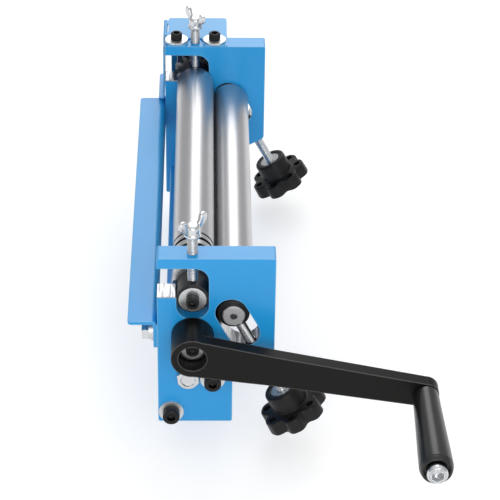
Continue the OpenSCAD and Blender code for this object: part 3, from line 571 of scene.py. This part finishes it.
def tree_of(maker):
    """The tree that a maker function builds, built once."""
    if maker not in TREES:
        TREES[maker] = maker()
    return TREES[maker]


def thread(diameter, pitch, length, material, place):
    """Threaded rod in millimetres, hanging down from the placement's origin."""
    sides, rows_per_turn = 32, 6
    # A metric thread is 0.54 of its pitch deep
    depth = 0.54 * pitch
    worker = work_object("thread_work", bpy.data.meshes.new("thread_work"))
    mesh = run_tree(worker, tree_of(thread_tree), {
        "Diameter": diameter * MM, "Pitch": pitch * MM, "Depth": depth * MM,
        "Length": length * MM, "Sides": sides, "Rows": int(length / pitch * rows_per_turn) + 1,
        "Material": FINISHES[material]})
    shell = bmesh.new()
    shell.from_mesh(mesh)
    bmesh.ops.holes_fill(shell, edges=shell.edges, sides=0)
    bmesh.ops.recalc_face_normals(shell, faces=shell.faces)
    shell.to_mesh(mesh)
    shell.free()
    mesh.transform(place)
    return mesh


def copies(shape, spots, material):
    """A mesh of copies of a shape, with its Z turned to each spot's facing."""
    carrier = bpy.data.meshes.new("spots")
    carrier.from_pydata([spot for spot, _ in spots], [], [])
    facing = carrier.attributes.new("facing", "FLOAT_VECTOR", "POINT")
    for i, (_, direction) in enumerate(spots):
        facing.data[i].vector = direction
    source = work_object("shape_work", shape)
    worker = work_object("copies_work", carrier)
    mesh = run_tree(worker, tree_of(copies_tree), {
        "Shape": source, "Material": FINISHES[material]})
    bpy.data.objects.remove(source)
    bpy.data.meshes.remove(shape)
    return mesh


# Settings

def length_property(name, text, default, low, high):
    """A length given here in millimetres and kept in metres."""
    return bpy.props.FloatProperty(
        name=name, description=text, default=default * MM, min=low * MM, max=high * MM,
        precision=5, subtype="DISTANCE", unit="LENGTH")


def angle_property(name, text, degrees):
    return bpy.props.FloatProperty(
        name=name, description=text, default=math.radians(degrees), subtype="ANGLE",
        unit="ROTATION")


def power_property(name, text, default):
    return bpy.props.FloatProperty(
        name=name, description=text, default=default, min=0, max=500, unit="POWER")


def level_property(name, text, default):
    return bpy.props.FloatProperty(name=name, description=text, default=default, min=0, max=2)


def count_property(name, text, default, low, high):
    return bpy.props.IntProperty(name=name, description=text, default=default, min=low, max=high)


def colour_property(name, text, hex_colour):
    return bpy.props.FloatVectorProperty(
        name=name, description=text, subtype="COLOR", size=4, min=0, max=1,
        default=linear(hex_colour))


class SLIPROLL_PG_colours(bpy.types.PropertyGroup):
    frame_blue: colour_property("Frame blue", "Paint on the end frames, bars and angle", "#1E9BDF")
    cover_blue: colour_property("Cover blue", "Paint on the gear cover and its flap", "#2C9CDC")
    # The edge colour is a painted highlight along the blue paint's edges, partly for paint pulled
    # thin there
    edge_highlight_blue: colour_property("Edge blue", "Thin blue paint along the edges", "#8CCBF2")
    roll_steel: colour_property("Roll steel", "Ground steel of the rolls", "#BEBEC0")
    # The groove colour is painted shade that darkens the upper roll's grooves
    groove_shade: colour_property("Groove oil", "Oily steel in the upper roll's grooves", "#2A2A2C")
    gear_steel: colour_property("Gear steel", "Cut steel of the gears and keys", "#8E8F92")
    zinc: colour_property("Zinc", "Plate on screws and bolts", "#D0D2D4")
    washer_zinc: colour_property("Washer zinc", "Plate on the washers", "#D2D3D4")
    screw_black: colour_property("Screw black", "Oxide on the cap screws", "#242425")
    bush_black: colour_property("Bush black", "Plastic of the bushes", "#141415")
    crank_black: colour_property("Crank black", "Paint on the crank arm", "#10100F")
    # The crank's edge colour is partly rubbed paint and partly a painted highlight along its edges
    worn_edge_and_highlight: colour_property("Edge black", "Rubbed paint along the crank's edges", "#6E6E6C")
    grip_black: colour_property("Grip black", "Plastic of the hand grip", "#161617")
    knob_black: colour_property("Knob black", "Plastic of the star knobs", "#171718")


class SLIPROLL_PG_screws(bpy.types.PropertyGroup):
    pitch: length_property("Pitch", "Pitch of the adjusting screws' threads", 1.25, 0.5, 3)
    knurls: count_property("Knurls", "Ridges round a cap screw's head", 36, 12, 72)
    knurl_depth: length_property("Knurl depth", "Depth of the ridges", 0.16, 0.02, 0.4)
    wing_turn_crank_end: angle_property(
        "Wing turn, crank end", "Angle at which the wings stand at the crank end", 45)
    wing_turn_gear_end: angle_property(
        "Wing turn, gear end", "Angle at which the wings stand at the gear end", -56)


class SLIPROLL_PG_knobs(bpy.types.PropertyGroup):
    across: length_property("Across", "Diameter over the lobes", 52, 30, 60)
    lobes: count_property("Lobes", "Number of lobes", 7, 3, 9)
    lobe_depth: length_property("Lobe depth", "Depth of the hollows between lobes", 4.5, 1, 8)
    disc: length_property("Disc", "Thickness of the lobed disc", 12, 5, 20)
    neck: length_property("Neck", "Diameter of the neck", 28.5, 20, 32)
    bore: length_property("Bore", "Diameter of the bore for the metal insert", 17.5, 10, 19)
    edge: length_property("Edge", "Rounding of the knob's edges", 1.3, 0.2, 3)
    hole: length_property("Hole", "Diameter of the hole in each lobe", 6.0, 2, 8)
    turn_crank_end: angle_property(
        "Turn, crank end", "Angle at which the crank end's knob stands", 14)
    turn_gear_end: angle_property(
        "Turn, gear end", "Angle at which the gear end's knob stands", -1.5)


class SLIPROLL_PG_stage(bpy.types.PropertyGroup):
    backdrop: colour_property("Backdrop", "Floor and background", "#FFFFFF")
    key_power: power_property("Key power", "Power of the softbox behind and above", 15.0)
    fill_power: power_property("Fill power", "Power of the softbox in front", 20.0)
    world_light: level_property("World light", "Strength of the even light all round", 0.69)
    mirrored_light: level_property(
        "Mirrored light", "Strength of the walls that glossy faces mirror", 0.55)


def settings(group):
    return getattr(bpy.context.scene, "sliproll_" + group)


# Pieces

class SLIPROLL_OT_finishes(bpy.types.Operator):
    """Makes the finishes that the pieces share"""
    bl_idname = "sliproll.finishes"
    bl_label = "Finishes"

    def execute(self, context):
        hue = settings("colours")
        # edge is the painted highlight colour for the edges of the blue paints
        blue, edge, zinc = tuple(hue.frame_blue), tuple(hue.edge_highlight_blue), tuple(hue.zinc)
        FINISHES["frame_paint"] = powder_coat("powder_coat_frame_blue", blue, edge)
        FINISHES["ledge_paint"] = powder_coat("powder_coat_with_bare_ledge", blue, edge)
        FINISHES["cover_paint"] = powder_coat(
            "powder_coat_cover_blue", tuple(hue.cover_blue), edge)
        FINISHES["gear"] = cut_steel("hobbed_gear_steel", tuple(hue.gear_steel))
        FINISHES["zinc"] = zinc_plate("bright_zinc_plate", zinc)
        # Bolt heads mirror the room, wings have a soft shine, and stamped washers are dull
        FINISHES["polished"] = zinc_plate("polished_zinc_plate", zinc, smooth=0.08, cloudy=0.14)
        FINISHES["cast"] = zinc_plate("tumbled_zinc_casting", zinc, smooth=0.2, cloudy=0.26)
        FINISHES["washer"] = zinc_plate(
            "stamped_zinc_washer", tuple(hue.washer_zinc), smooth=0.4, cloudy=0.5)
        FINISHES["oxide"] = black_oxide("black_oxide_steel", tuple(hue.screw_black))
        # Acetal is smooth and waxy, the grip has a glossy skin and the knobs a fine matt grain
        FINISHES["bush"] = moulded(
            "black_bearing_acetal", tuple(hue.bush_black),
            roughness=0.42, grain_mm=1.2, relief_mm=0.006)
        FINISHES["grip"] = moulded(
            "gloss_black_grip_moulding", tuple(hue.grip_black),
            roughness=0.3, grain_mm=2.5, relief_mm=0.006)
        FINISHES["knob"] = moulded(
            "grained_black_knob_nylon", tuple(hue.knob_black),
            roughness=0.38, grain_mm=0.7, relief_mm=0.02, gloss=0.24)
        # The crank's black paint is flatter than the blue and has no clear gloss over it. Its
        # edges get a grey line that is partly rubbed paint and partly painted highlight.
        FINISHES["crank"] = powder_coat(
            "satin_black_crank_paint", tuple(hue.crank_black), tuple(hue.worn_edge_and_highlight),
            roughness=0.42, gloss=0.16, coat_weight=0.0)
        return {"FINISHED"}


# Height of the open notches' ledge, how far over it steel is bare, and a box in X and Z round
# the slanted slots
LEDGE_HEIGHT, OVER_LEDGE = 114.6 * MM, 0.3 * MM
SLOT_LOW_X, SLOT_LOW_Z = 31 * MM, 63 * MM
SLOT_HIGH_X, SLOT_HIGH_Z = 72 * MM, 118 * MM
# Depth of paint over a plate's faces that stays when its slot is milled
PAINTED_SKIN = 0.2 * MM


class SLIPROLL_OT_end_frames(bpy.types.Operator):
    """Paints the end frames, the bars between them and the front angle"""
    bl_idname = "sliproll.end_frames"
    bl_label = "End frames"

    def execute(self, context):
        for node in ("front_angle", "front_tie_bar", "rear_tie_bar"):
            coat(node, "frame_paint")
        plates = ["crank_end_frame", "gear_end_frame"]
        for node in plates:
            coat(node, "ledge_paint")
        front_low, rear_high = corners(plates[0])[0], corners(plates[1])[1]
        notch_side = corners("upper_bushes")[0].x
        boxes = [((front_low.x - MM, front_low.y - MM, LEDGE_HEIGHT - MM),
                  (notch_side + MM, rear_high.y + MM, LEDGE_HEIGHT + OVER_LEDGE))]
        for node in plates:
            low, high = corners(node)
            boxes.append(((SLOT_LOW_X, low.y + PAINTED_SKIN, SLOT_LOW_Z),
                          (SLOT_HIGH_X, high.y - PAINTED_SKIN, SLOT_HIGH_Z)))
        bare_steel(FINISHES["ledge_paint"], boxes)
        return {"FINISHED"}


class SLIPROLL_OT_gear_cover(bpy.types.Operator):
    """Paints the folded gear cover and its hanging flap"""
    bl_idname = "sliproll.gear_cover"
    bl_label = "Gear cover"

    def execute(self, context):
        for node in ("gear_cover", "cover_flap"):
            coat(node, "cover_paint")
        coat("flap_hinge_pin", "zinc")
        return {"FINISHED"}


class SLIPROLL_OT_rolls(bpy.types.Operator):
    """Gives the three rolls their ground surface, and finishes their bushes and gears"""
    bl_idname = "sliproll.rolls"
    bl_label = "Rolls, bushes and gears"

    def execute(self, context):
        hue = settings("colours")
        for node in ("drive_roll", "upper_roll", "rear_roll"):
            FINISHES[node] = ground_steel("ground_steel_" + node, tuple(hue.roll_steel))
            turned_ends(FINISHES[node], node)
            coat(node, node)
        # The upper roll's grooves get painted shade
        shaded_grooves(FINISHES["upper_roll"], "upper_roll", tuple(hue.groove_shade))
        for node in ("drive_bushes", "upper_bushes", "rear_bushes"):
            coat(node, "bush")
        for node in ("drive_gear", "upper_gear", "drive_gear_key", "upper_gear_key", "crank_key"):
            coat(node, "gear")
        return {"FINISHED"}


def hexagon_bolt(across_flats, size, head, length):
    """Forged hexagon bolt in millimetres, with chamfered corners and a dished top.
    Its head stands on z = 0."""
    count = 96
    flat, corner = across_flats / 2, across_flats / 2 / math.cos(math.pi / 6)

    def hexagon(limit):
        def at(angle):
            return min(flat / math.cos(from_flat(angle)), limit) * MM
        return at

    rings = lathe([
        (size / 2 - 0.8, -length), (size / 2, 0.8 - length), (size / 2, 0),
        (flat * 0.92, 0), (flat * 0.92, 0.4)], count)
    rings += [ring(hexagon(limit), z * MM, count) for limit, z in (
        (corner, 0.4), (corner, head - 1.5), (corner - 0.5, head - 0.9), (flat, head - 0.25),
        (flat - 0.6, head))]
    rings += lathe([
        (flat * 0.72, head), (flat * 0.64, head - 0.7), (flat * 0.5, head - 0.9),
        (0.2, head - 0.9)], count)
    return skin(rings)


class SLIPROLL_OT_bolts(bpy.types.Operator):
    """Makes the forged hexagon bolts, and plates the others and all washers"""
    bl_idname = "sliproll.bolts"
    bl_label = "Bolts and washers"

    def hexagon_bolts(self, node):
        """The two M10 bolts of the rear tie bar, one at each end."""
        size, across_flats, turned = 10, 16, 9
        low, high = corners(node)
        seat = corners("crank_end_frame")[0].y
        inner = max(v.co.y for v in NODES[node].data.vertices if v.co.y < 0)
        head, length = (seat - low.y) / MM, (inner - seat) / MM
        x, z = (low.x + high.x) / 2, (low.z + high.z) / 2
        turn = Matrix.Rotation(math.radians(turned), 4, "Z")
        pair = []
        for side in (-1, 1):
            bolt = hexagon_bolt(across_flats, size, head, length)
            bolt.transform(axes_at((x, -side * seat, z), (0, side, 0)) @ turn)
            pair.append(bolt)
        put("forged_hexagon_bolts", joined(pair), "frame", "polished", [node],
            sharp=28)

    def execute(self, context):
        self.hexagon_bolts("tie_hex_bolts")
        for node in ("angle_bolts", "knob_insert_crank_end", "knob_insert_gear_end",
                     "upper_end_washers"):
            coat(node, "zinc")
        for node in ("tie_washers", "angle_washers", "angle_spring_washers", "cover_washers",
                     "drive_gear_washer", "crank_washer"):
            coat(node, "washer")
        return {"FINISHED"}


# Across flats of the hexagon key for each thread size of cap screw
KEY_ACROSS = {6: 5, 8: 6}


def head_radius(size):
    """Radius in millimetres of a socket cap screw's head."""
    return (1.5 * size + 1) / 2


def cap_screw(size, length, tall):
    """Socket cap screw in millimetres: knurled head above z = 0, shank below."""
    screws = settings("screws")
    head, shank = head_radius(size), size / 2
    key = KEY_ACROSS[size] / 2
    count = screws.knurls * 4

    def knurled(angle):
        wave = 0.5 - 0.5 * math.cos(angle * screws.knurls)
        return head * MM - screws.knurl_depth * wave

    rings = lathe([(shank * 0.8, -length), (shank, 0.8 - length), (shank, 0),
                   (head - 0.35, 0), (head - 0.1, 0.25)], count)
    rings += [ring(knurled, z * MM, count) for z in (0.7, tall - 1.1)]
    rings += lathe([(head - 0.1, tall - 0.75), (head - 0.65, tall - 0.12), (head - 0.9, tall)],
                   count)
    # The socket, with a chamfered rim and the drill's point at its bottom
    rings += [ring(r * MM, z * MM, count, hexed=True) for r, z in (
        (key + 0.55, tall), (key, tall - 0.35), (key, tall * 0.48))]
    rings += lathe([(key * 0.2, tall * 0.3)], count)
    return skin(rings)


class SLIPROLL_OT_cap_screws(bpy.types.Operator):
    """Makes the knurled socket cap screws, each set on the seats of its CAD node"""
    bl_idname = "sliproll.cap_screws"
    bl_label = "Cap screws"

    def make(self, name, node, size, body, length, spots, tall=None):
        """Puts copies of one screw on spots; a full head is as tall as the screw is thick."""
        mesh = copies(cap_screw(size, length, tall or size), spots, "oxide")
        put(name, mesh, body, "oxide", [node])

    def tie_screws(self):
        """Two M8 screws through each end frame: one low in front, and one higher behind it."""
        size, length = 8, 38
        low, high = corners("tie_cap_screws")
        inset = head_radius(size) * MM
        seat = high.y - size * MM
        places = ((low.x + inset, low.z + inset), (high.x - inset, high.z - inset))
        spots = [((x, side * seat, z), (0, side, 0)) for x, z in places for side in (-1, 1)]
        self.make("tie_socket_screws", "tie_cap_screws", size, "frame", length, spots)

    def cover_screws(self):
        """The M6 screws that hold the gear cover down, side by side along X."""
        size, length = 6, 9
        low, high = corners("cover_screws")
        inset = head_radius(size) * MM
        seat = high.z - size * MM
        y = (low.y + high.y) / 2
        spots = [((x, y, seat), (0, 0, 1)) for x in (low.x + inset, high.x - inset)]
        self.make("cover_socket_screws", "cover_screws", size, "frame", length, spots)

    def shaft_screws(self, name, node, body, sides, tall=6):
        """M6 screws in the ends of a shaft: at its crank end (-1), its gear end (1) or both."""
        size, length = 6, 13.5
        low, high = corners(node)
        centre = (low + high) / 2
        spots = []
        for side in sides:
            y = high.y - tall * MM if side > 0 else low.y + tall * MM
            spots.append(((centre.x, y, centre.z), (0, side, 0)))
        self.make(name, node, size, body, length, spots, tall)

    def execute(self, context):
        self.tie_screws()
        self.cover_screws()
        self.shaft_screws("upper_roll_socket_screws", "upper_end_screws", "upper", (-1, 1))
        self.shaft_screws("drive_gear_screw_socket", "drive_gear_screw", "drive", (1,))
        # The crank's screw has a low head, sunk in the hub
        self.shaft_screws("crank_screw_socket", "crank_screw", "drive", (-1,), tall=3.8)
        return {"FINISHED"}


def wing_ear(side):
    """One rounded ear of a wing screw, as a thick plate with soft edges, in millimetres."""
    outline = [(0, 1.0), (4.4, 1.0), (6.6, 2.6), (8.6, 5.4), (11.6, 7.4), (13.6, 9.8),
               (14.1, 12.6), (13.2, 15.2), (11.0, 16.2), (8.4, 15.6), (7.0, 13.6),
               (6.2, 10.6), (4.8, 8.6), (2.6, 7.6), (0, 7.4)]
    half_thickness, edge = 1.7, 1.1
    plate = skin([[(side * x * MM, y * MM, z * MM) for x, z in outline]
                  for y in (-half_thickness, half_thickness)])
    worker = work_object("wing_work", plate)
    soft = worker.modifiers.new("soft_edges", "BEVEL")
    soft.width = edge * MM
    soft.segments = 4
    soft.limit_method = "ANGLE"
    soft.angle_limit = math.radians(50)
    return plain(worker)


# Thread size of the adjusting screws, and the wing screws' height over their collars
ADJUSTING_THREAD = 8
WING_HEIGHT = 17.6


class SLIPROLL_OT_wing_screws(bpy.types.Operator):
    """Makes the two wing screws with threaded shanks and rounded wings"""
    bl_idname = "sliproll.wing_screws"
    bl_label = "Wing screws"

    def execute(self, context):
        screws = settings("screws")
        boss_profile = rounded_profile([
            (3.2, -0.2, 0), (5.8, -0.2, 0.4), (6.3, 0.6, 0.4), (6.3, 2.2, 0.5), (5.6, 3.0, 0.6),
            (5.7, 5.4, 1.0), (5.6, 8.4, 2.0), (4.2, 10.0, 1.4), (0.2, 10.4, 0)])
        x = middle("upper_bushes").x
        for end, turn in zip(ENDS, (screws.wing_turn_crank_end, screws.wing_turn_gear_end)):
            node, body = "wing_screw_" + end, "wing_" + end
            low, high = corners(node)
            y = joint("wing_turn_" + end)["pos_m"][1]
            collar = high.z - WING_HEIGHT * MM
            place = Matrix.Translation((x, y, collar)) @ Matrix.Rotation(turn, 4, "Z")
            head = joined([skin(lathe(boss_profile, 48)), wing_ear(1), wing_ear(-1)])
            put("wings_" + end, head, body, "cast", place=place, sharp=40)
            rod = thread(ADJUSTING_THREAD, screws.pitch / MM, (collar - low.z) / MM, "zinc", place)
            put("wing_thread_" + end, rod, body, "zinc", [node], sharp=70)
        return {"FINISHED"}


def knob_frame(end):
    """Placement of a star knob: Z runs up its stud, origin on the lower face of its disc.
    Also gives the knob's length in millimetres."""
    stud = joint("knob_turn_" + end)
    down = Vector(stud["axis"]).normalized()
    start = Vector(stud["pos_m"])
    along = [(v.co - start).dot(down) for v in NODES["star_knob_" + end].data.vertices]
    return axes_at(start + down * max(along), -down), (max(along) - min(along)) / MM


class SLIPROLL_OT_star_knobs(bpy.types.Operator):
    """Makes the two star knobs, moulded with soft edges and a hole in each lobe"""
    bl_idname = "sliproll.star_knobs"
    bl_label = "Star knobs"

    def moulding(self, length):
        """The knob without its holes, from the dish below its disc to the insert's bore."""
        knobs = settings("knobs")
        disc, edge, hollow = (size / MM for size in (knobs.disc, knobs.edge, knobs.lobe_depth))
        radius, neck, bore = (size / 2 / MM for size in (knobs.across, knobs.neck, knobs.bore))
        bore_depth = 13.9
        count = 24 * knobs.lobes
        # Steps round the quarter circle of a rounded edge
        quarter = [math.pi / 2 * i / 5 for i in range(6)]

        def lobes(inset):
            def at(angle):
                depth = hollow * ((1 - math.cos(knobs.lobes * angle)) / 2) ** 2
                return (radius - depth - inset) * MM
            return at

        # From below: a shallow dish, the lobes between rounded edges, the neck and the bore
        rings = lathe([(0.2, 1.2), (9, 1.2), (10.2, 0)], count)
        rings += [ring(lobes(edge * (1 - math.sin(a))), edge * (1 - math.cos(a)) * MM, count)
                  for a in quarter]
        rings += [ring(lobes(0.5 + edge * (1 - math.cos(a))),
                       (disc - edge * (1 - math.sin(a))) * MM, count) for a in quarter]
        rings += lathe([
            (neck + 1.2, disc), (neck + 0.35, disc + 0.35), (neck, disc + 1.3),
            (neck - 0.15, length - 1.6), (neck - 0.45, length - 0.7), (neck - 1.1, length - 0.15),
            (neck - 1.8, length), (bore + 0.8, length), (bore + 0.1, length - 0.45),
            (bore, length - bore_depth), (0.2, length - bore_depth)], count)
        return skin(rings)

    def knob(self, length):
        """The knob, with a hole drilled through each lobe."""
        knobs = settings("knobs")
        radius, neck, hole = (size / 2 / MM for size in (knobs.across, knobs.neck, knobs.hole))
        disc, past = knobs.disc / MM, 2
        body = work_object("knob_work", self.moulding(length))
        drill = skin(lathe([(hole, -past), (hole, disc + past)], 32))
        reach = (radius + neck) / 2 * MM
        angles = [2 * math.pi * i / knobs.lobes for i in range(knobs.lobes)]
        spots = [((reach * math.cos(a), reach * math.sin(a), 0), (0, 0, 1)) for a in angles]
        drills = work_object("drill_work", copies(drill, spots, "knob"))
        cut = body.modifiers.new("lobe_holes", "BOOLEAN")
        cut.object = drills
        cut.operation = "DIFFERENCE"
        cut.solver = "EXACT"
        mesh = plain(body)
        bpy.data.objects.remove(drills)
        return mesh

    def stud(self, end, place):
        """The knob's threaded stud, as long as its CAD node."""
        up = (place.to_3x3() @ Vector((0, 0, 1))).normalized()
        origin = place.translation
        heights = [(v.co - origin).dot(up) for v in NODES["knob_stud_" + end].data.vertices]
        tip, foot = max(heights), min(heights)
        rod = thread(ADJUSTING_THREAD, settings("screws").pitch / MM, (tip - foot) / MM, "zinc",
                     axes_at(origin + up * tip, up))
        put("knob_thread_" + end, rod, "knob_" + end, "zinc",
            ["knob_stud_" + end], sharp=70)

    def execute(self, context):
        knobs = settings("knobs")
        for end, turn in zip(ENDS, (knobs.turn_crank_end, knobs.turn_gear_end)):
            place, length = knob_frame(end)
            turned = place @ Matrix.Rotation(turn, 4, "Z")
            put("star_knob_moulding_" + end, self.knob(length), "knob_" + end, "knob",
                ["star_knob_" + end], place=turned, sharp=38)
            self.stud(end, place)
        return {"FINISHED"}


class SLIPROLL_OT_crank(bpy.types.Operator):
    """Paints the crank arm, and makes the hand grip and its shoulder bolt"""
    bl_idname = "sliproll.crank"
    bl_label = "Crank and grip"

    def hand_grip(self, axis):
        """The grip: a waist at the crank, a swell, a groove and a recess at its far end."""
        low, high = corners("hand_grip")
        length = (high.y - low.y) / MM
        bore, recess = 5.1, 3.3
        profile = rounded_profile([
            (bore, 0, 0), (9.2, 0, 0.8), (9.9, 1.4, 1.2), (10.05, 7.2, 0.5), (10.3, 18, 6),
            (11.2, 45, 12), (12.3, length - 16, 10), (12.48, length - 4.2, 1.2),
            (12.1, length - 3.4, 0.3), (12.0, length - 2.6, 0.4), (11.2, length, 1.6),
            (9.9, length, 0.6), (9.2, length - 0.7, 0.6), (8.9, length - recess, 0),
            (bore, length - recess, 0)])
        place = axes_at((axis.x, high.y, axis.z), (0, -1, 0))
        put("turned_grip", skin(lathe(profile, 72), tube=True), "grip", "grip",
            ["hand_grip"], place=place, sharp=35)

    def shoulder_bolt(self, axis):
        """The grip's bolt: a turned button head with a ring round its hexagon socket."""
        low, high = corners("grip_bolt")
        length = (high.y - low.y) / MM
        head, radius, shank, key, count = 9.0, 7.75, 5.0, 4.0, 96
        rings = lathe([
            (shank - 0.8, 0), (shank, 0.8), (shank, length - head), (radius - 0.3, length - head),
            (radius, length - head + 0.4), (radius, length - 2.2), (radius - 0.35, length - 1.3),
            (radius - 1.0, length - 0.6), (radius - 1.5, length - 0.45),
            (radius - 1.7, length - 0.9), (radius - 2.1, length - 0.9),
            (radius - 2.3, length - 0.3), (key + 0.75, length)], count)
        rings += [ring(r * MM, z * MM, count, hexed=True) for r, z in (
            (key + 0.2, length), (key, length - 0.35), (key, length - 4.6))]
        rings += lathe([(0.2, length - 5.2)], count)
        place = axes_at((axis.x, high.y, axis.z), (0, -1, 0))
        put("shoulder_bolt", skin(rings), "drive", "polished", ["grip_bolt"],
            place=place, sharp=28)

    def execute(self, context):
        coat("crank_arm", "crank")
        axis = middle("hand_grip")
        self.hand_grip(axis)
        self.shoulder_bolt(axis)
        return {"FINISHED"}


# Places and sizes on the stage, in metres
FLOOR_HALF_WIDTH = 6.0
LAMP_TARGET = (0.02, 0.0, 0.06)
KEY_PLACE, KEY_SIZE = (0.2, 1.75, 1.45), (0.95, 2.3)
FILL_PLACE, FILL_SIZE = (0.2, -2.2, 1.05), (1.6, 1.2)
# The camera that the end frames' edges in the photograph give, in metres and degrees
CAMERA_PLACE = (0.02642, -1.42593, 0.94452)
CAMERA_DOWN, CAMERA_YAW, CAMERA_ROLL = 32.355, 1.474, 0.912
CAMERA_SENSOR_MM, CAMERA_LENS_MM = 36.0, 145.397


class SLIPROLL_OT_stage(bpy.types.Operator):
    """Makes the floor, the lamps, the world and the camera"""
    bl_idname = "sliproll.stage"
    bl_label = "Stage"

    def floor(self, colour):
        # The star knobs hang lowest, and sink further as the rear roll is lowered
        travel, clearance = joint("rear_adjust"), 0.2 * MM
        level = LOADED_BOUNDS[0][2] + travel["range_m"][1] * travel["axis"][2] - clearance
        half = FLOOR_HALF_WIDTH
        mesh = bpy.data.meshes.new("floor")
        mesh.from_pydata([(-half, -half, level), (half, -half, level), (half, half, level),
                          (-half, half, level)], [], [(0, 1, 2, 3)])
        plane = work_object("floor", mesh)
        material = bpy.data.materials.new("matt_white_floor")
        material.use_nodes = True
        tree = material.node_tree
        tree.nodes.clear()
        # Its own glow whitens the floor where it is seen or mirrored, and lights nothing
        matt = add(tree, "ShaderNodeBsdfDiffuse", {"Color": scaled(colour, 0.68)})
        glow = add(tree, "ShaderNodeEmission", {"Color": colour, "Strength": 0.47})
        none = add(tree, "ShaderNodeEmission", {"Color": BLACK, "Strength": 0.0})
        path = add(tree, "ShaderNodeLightPath").outputs
        mirrored = add(tree, "ShaderNodeMath", {
            0: path["Is Glossy Ray"], 1: path["Is Transmission Ray"]}, operation="MAXIMUM")
        seen = add(tree, "ShaderNodeMath", {
            0: path["Is Camera Ray"], 1: mirrored}, operation="MAXIMUM")
        lift = add(tree, "ShaderNodeMixShader", {0: seen, 1: none, 2: glow})
        both = add(tree, "ShaderNodeAddShader", {0: matt, 1: lift})
        add(tree, "ShaderNodeOutputMaterial", {"Surface": both})
        mesh.materials.append(material)

    def softbox(self, name, place, size, power):
        data = bpy.data.lights.new(name, "AREA")
        data.shape = "RECTANGLE"
        data.size, data.size_y = size
        data.energy = power
        lamp = work_object(name, data)
        lamp.location = place
        aim = Vector(LAMP_TARGET) - Vector(place)
        lamp.rotation_euler = aim.to_track_quat("-Z", "Y").to_euler()

    def world(self, strength, mirrored, colour):
        world = bpy.data.worlds.new("studio")
        bpy.context.scene.world = world
        world.use_nodes = True
        tree = world.node_tree
        tree.nodes.clear()
        even = add(tree, "ShaderNodeBackground", {"Color": WHITE, "Strength": strength})
        shown = add(tree, "ShaderNodeBackground", {"Color": colour, "Strength": 1.0})
        # Glossy faces mirror dimmer walls, which fade to a white ceiling 33 to 58 degrees up
        ahead = add(tree, "ShaderNodeTexCoord").outputs["Generated"]
        height = add(tree, "ShaderNodeSeparateXYZ", {0: ahead}).outputs[2]
        room = add(tree, "ShaderNodeMapRange", {
            "Value": height, "From Min": 0.54, "From Max": 0.85,
            "To Min": mirrored, "To Max": 0.95})
        walls = add(tree, "ShaderNodeBackground", {"Color": WHITE, "Strength": room})
        path = add(tree, "ShaderNodeLightPath").outputs
        lit = add(tree, "ShaderNodeMixShader", {0: path["Is Glossy Ray"], 1: even, 2: walls})
        direct = add(tree, "ShaderNodeMath", {
            0: path["Is Camera Ray"], 1: path["Is Transmission Ray"]}, operation="MAXIMUM")
        pick = add(tree, "ShaderNodeMixShader", {0: direct, 1: lit, 2: shown})
        add(tree, "ShaderNodeOutputWorld", {"Surface": pick})

    def camera(self):
        data = bpy.data.cameras.new("camera")
        data.sensor_width = CAMERA_SENSOR_MM
        data.lens = CAMERA_LENS_MM
        data.clip_end = 50.0
        camera = work_object("camera", data)
        down, yaw, roll = (math.radians(a) for a in (CAMERA_DOWN, CAMERA_YAW, CAMERA_ROLL))
        ahead = Vector((math.sin(yaw) * math.cos(down), math.cos(yaw) * math.cos(down),
                        -math.sin(down)))
        right = Vector((math.cos(yaw), -math.sin(yaw), 0))
        up = right.cross(ahead)
        across = right * math.cos(roll) + up * math.sin(roll)
        upright = up * math.cos(roll) - right * math.sin(roll)
        turn = Matrix((across, upright, -ahead)).transposed().to_4x4()
        camera.matrix_world = Matrix.Translation(CAMERA_PLACE) @ turn
        bpy.context.scene.camera = camera

    def execute(self, context):
        stage = settings("stage")
        self.floor(tuple(stage.backdrop))
        self.world(stage.world_light, stage.mirrored_light, tuple(stage.backdrop))
        self.softbox("rear_softbox", KEY_PLACE, KEY_SIZE, stage.key_power)
        self.softbox("front_softbox", FILL_PLACE, FILL_SIZE, stage.fill_power)
        self.camera()
        context.scene.view_settings.view_transform = "Standard"
        return {"FINISHED"}


class SLIPROLL_PT_panel(bpy.types.Panel):
    """Lists the settings and the pieces of the slip roll"""
    bl_idname = "SLIPROLL_PT_panel"
    bl_label = "Slip Roll"
    bl_space_type = "VIEW_3D"
    bl_region_type = "UI"
    bl_category = "Slip Roll"

    def draw(self, context):
        for group in GROUPS:
            box = self.layout.box()
            box.label(text=group.capitalize())
            values = settings(group)
            for name in values.bl_rna.properties.keys():
                if name not in ("rna_type", "name"):
                    box.prop(values, name)
        for maker in MAKERS:
            self.layout.operator(maker.bl_idname)


MAKERS = (
    SLIPROLL_OT_finishes,
    SLIPROLL_OT_end_frames,
    SLIPROLL_OT_gear_cover,
    SLIPROLL_OT_rolls,
    SLIPROLL_OT_bolts,
    SLIPROLL_OT_cap_screws,
    SLIPROLL_OT_wing_screws,
    SLIPROLL_OT_star_knobs,
    SLIPROLL_OT_crank,
    SLIPROLL_OT_stage,
)
GROUPS = {
    "colours": SLIPROLL_PG_colours,
    "screws": SLIPROLL_PG_screws,
    "knobs": SLIPROLL_PG_knobs,
    "stage": SLIPROLL_PG_stage,
}


def register():
    for name, group in GROUPS.items():
        bpy.utils.register_class(group)
        setattr(bpy.types.Scene, "sliproll_" + name, bpy.props.PointerProperty(type=group))
    for maker in MAKERS + (SLIPROLL_PT_panel,):
        bpy.utils.register_class(maker)


def unregister():
    for maker in (SLIPROLL_PT_panel,) + MAKERS[::-1]:
        bpy.utils.unregister_class(maker)
    for name, group in GROUPS.items():
        delattr(bpy.types.Scene, "sliproll_" + name)
        bpy.utils.unregister_class(group)


def main():
    register()
    for maker in MAKERS:
        family, name = maker.bl_idname.split(".")
        getattr(getattr(bpy.ops, family), name)()


if __name__ == "__main__":
    main()
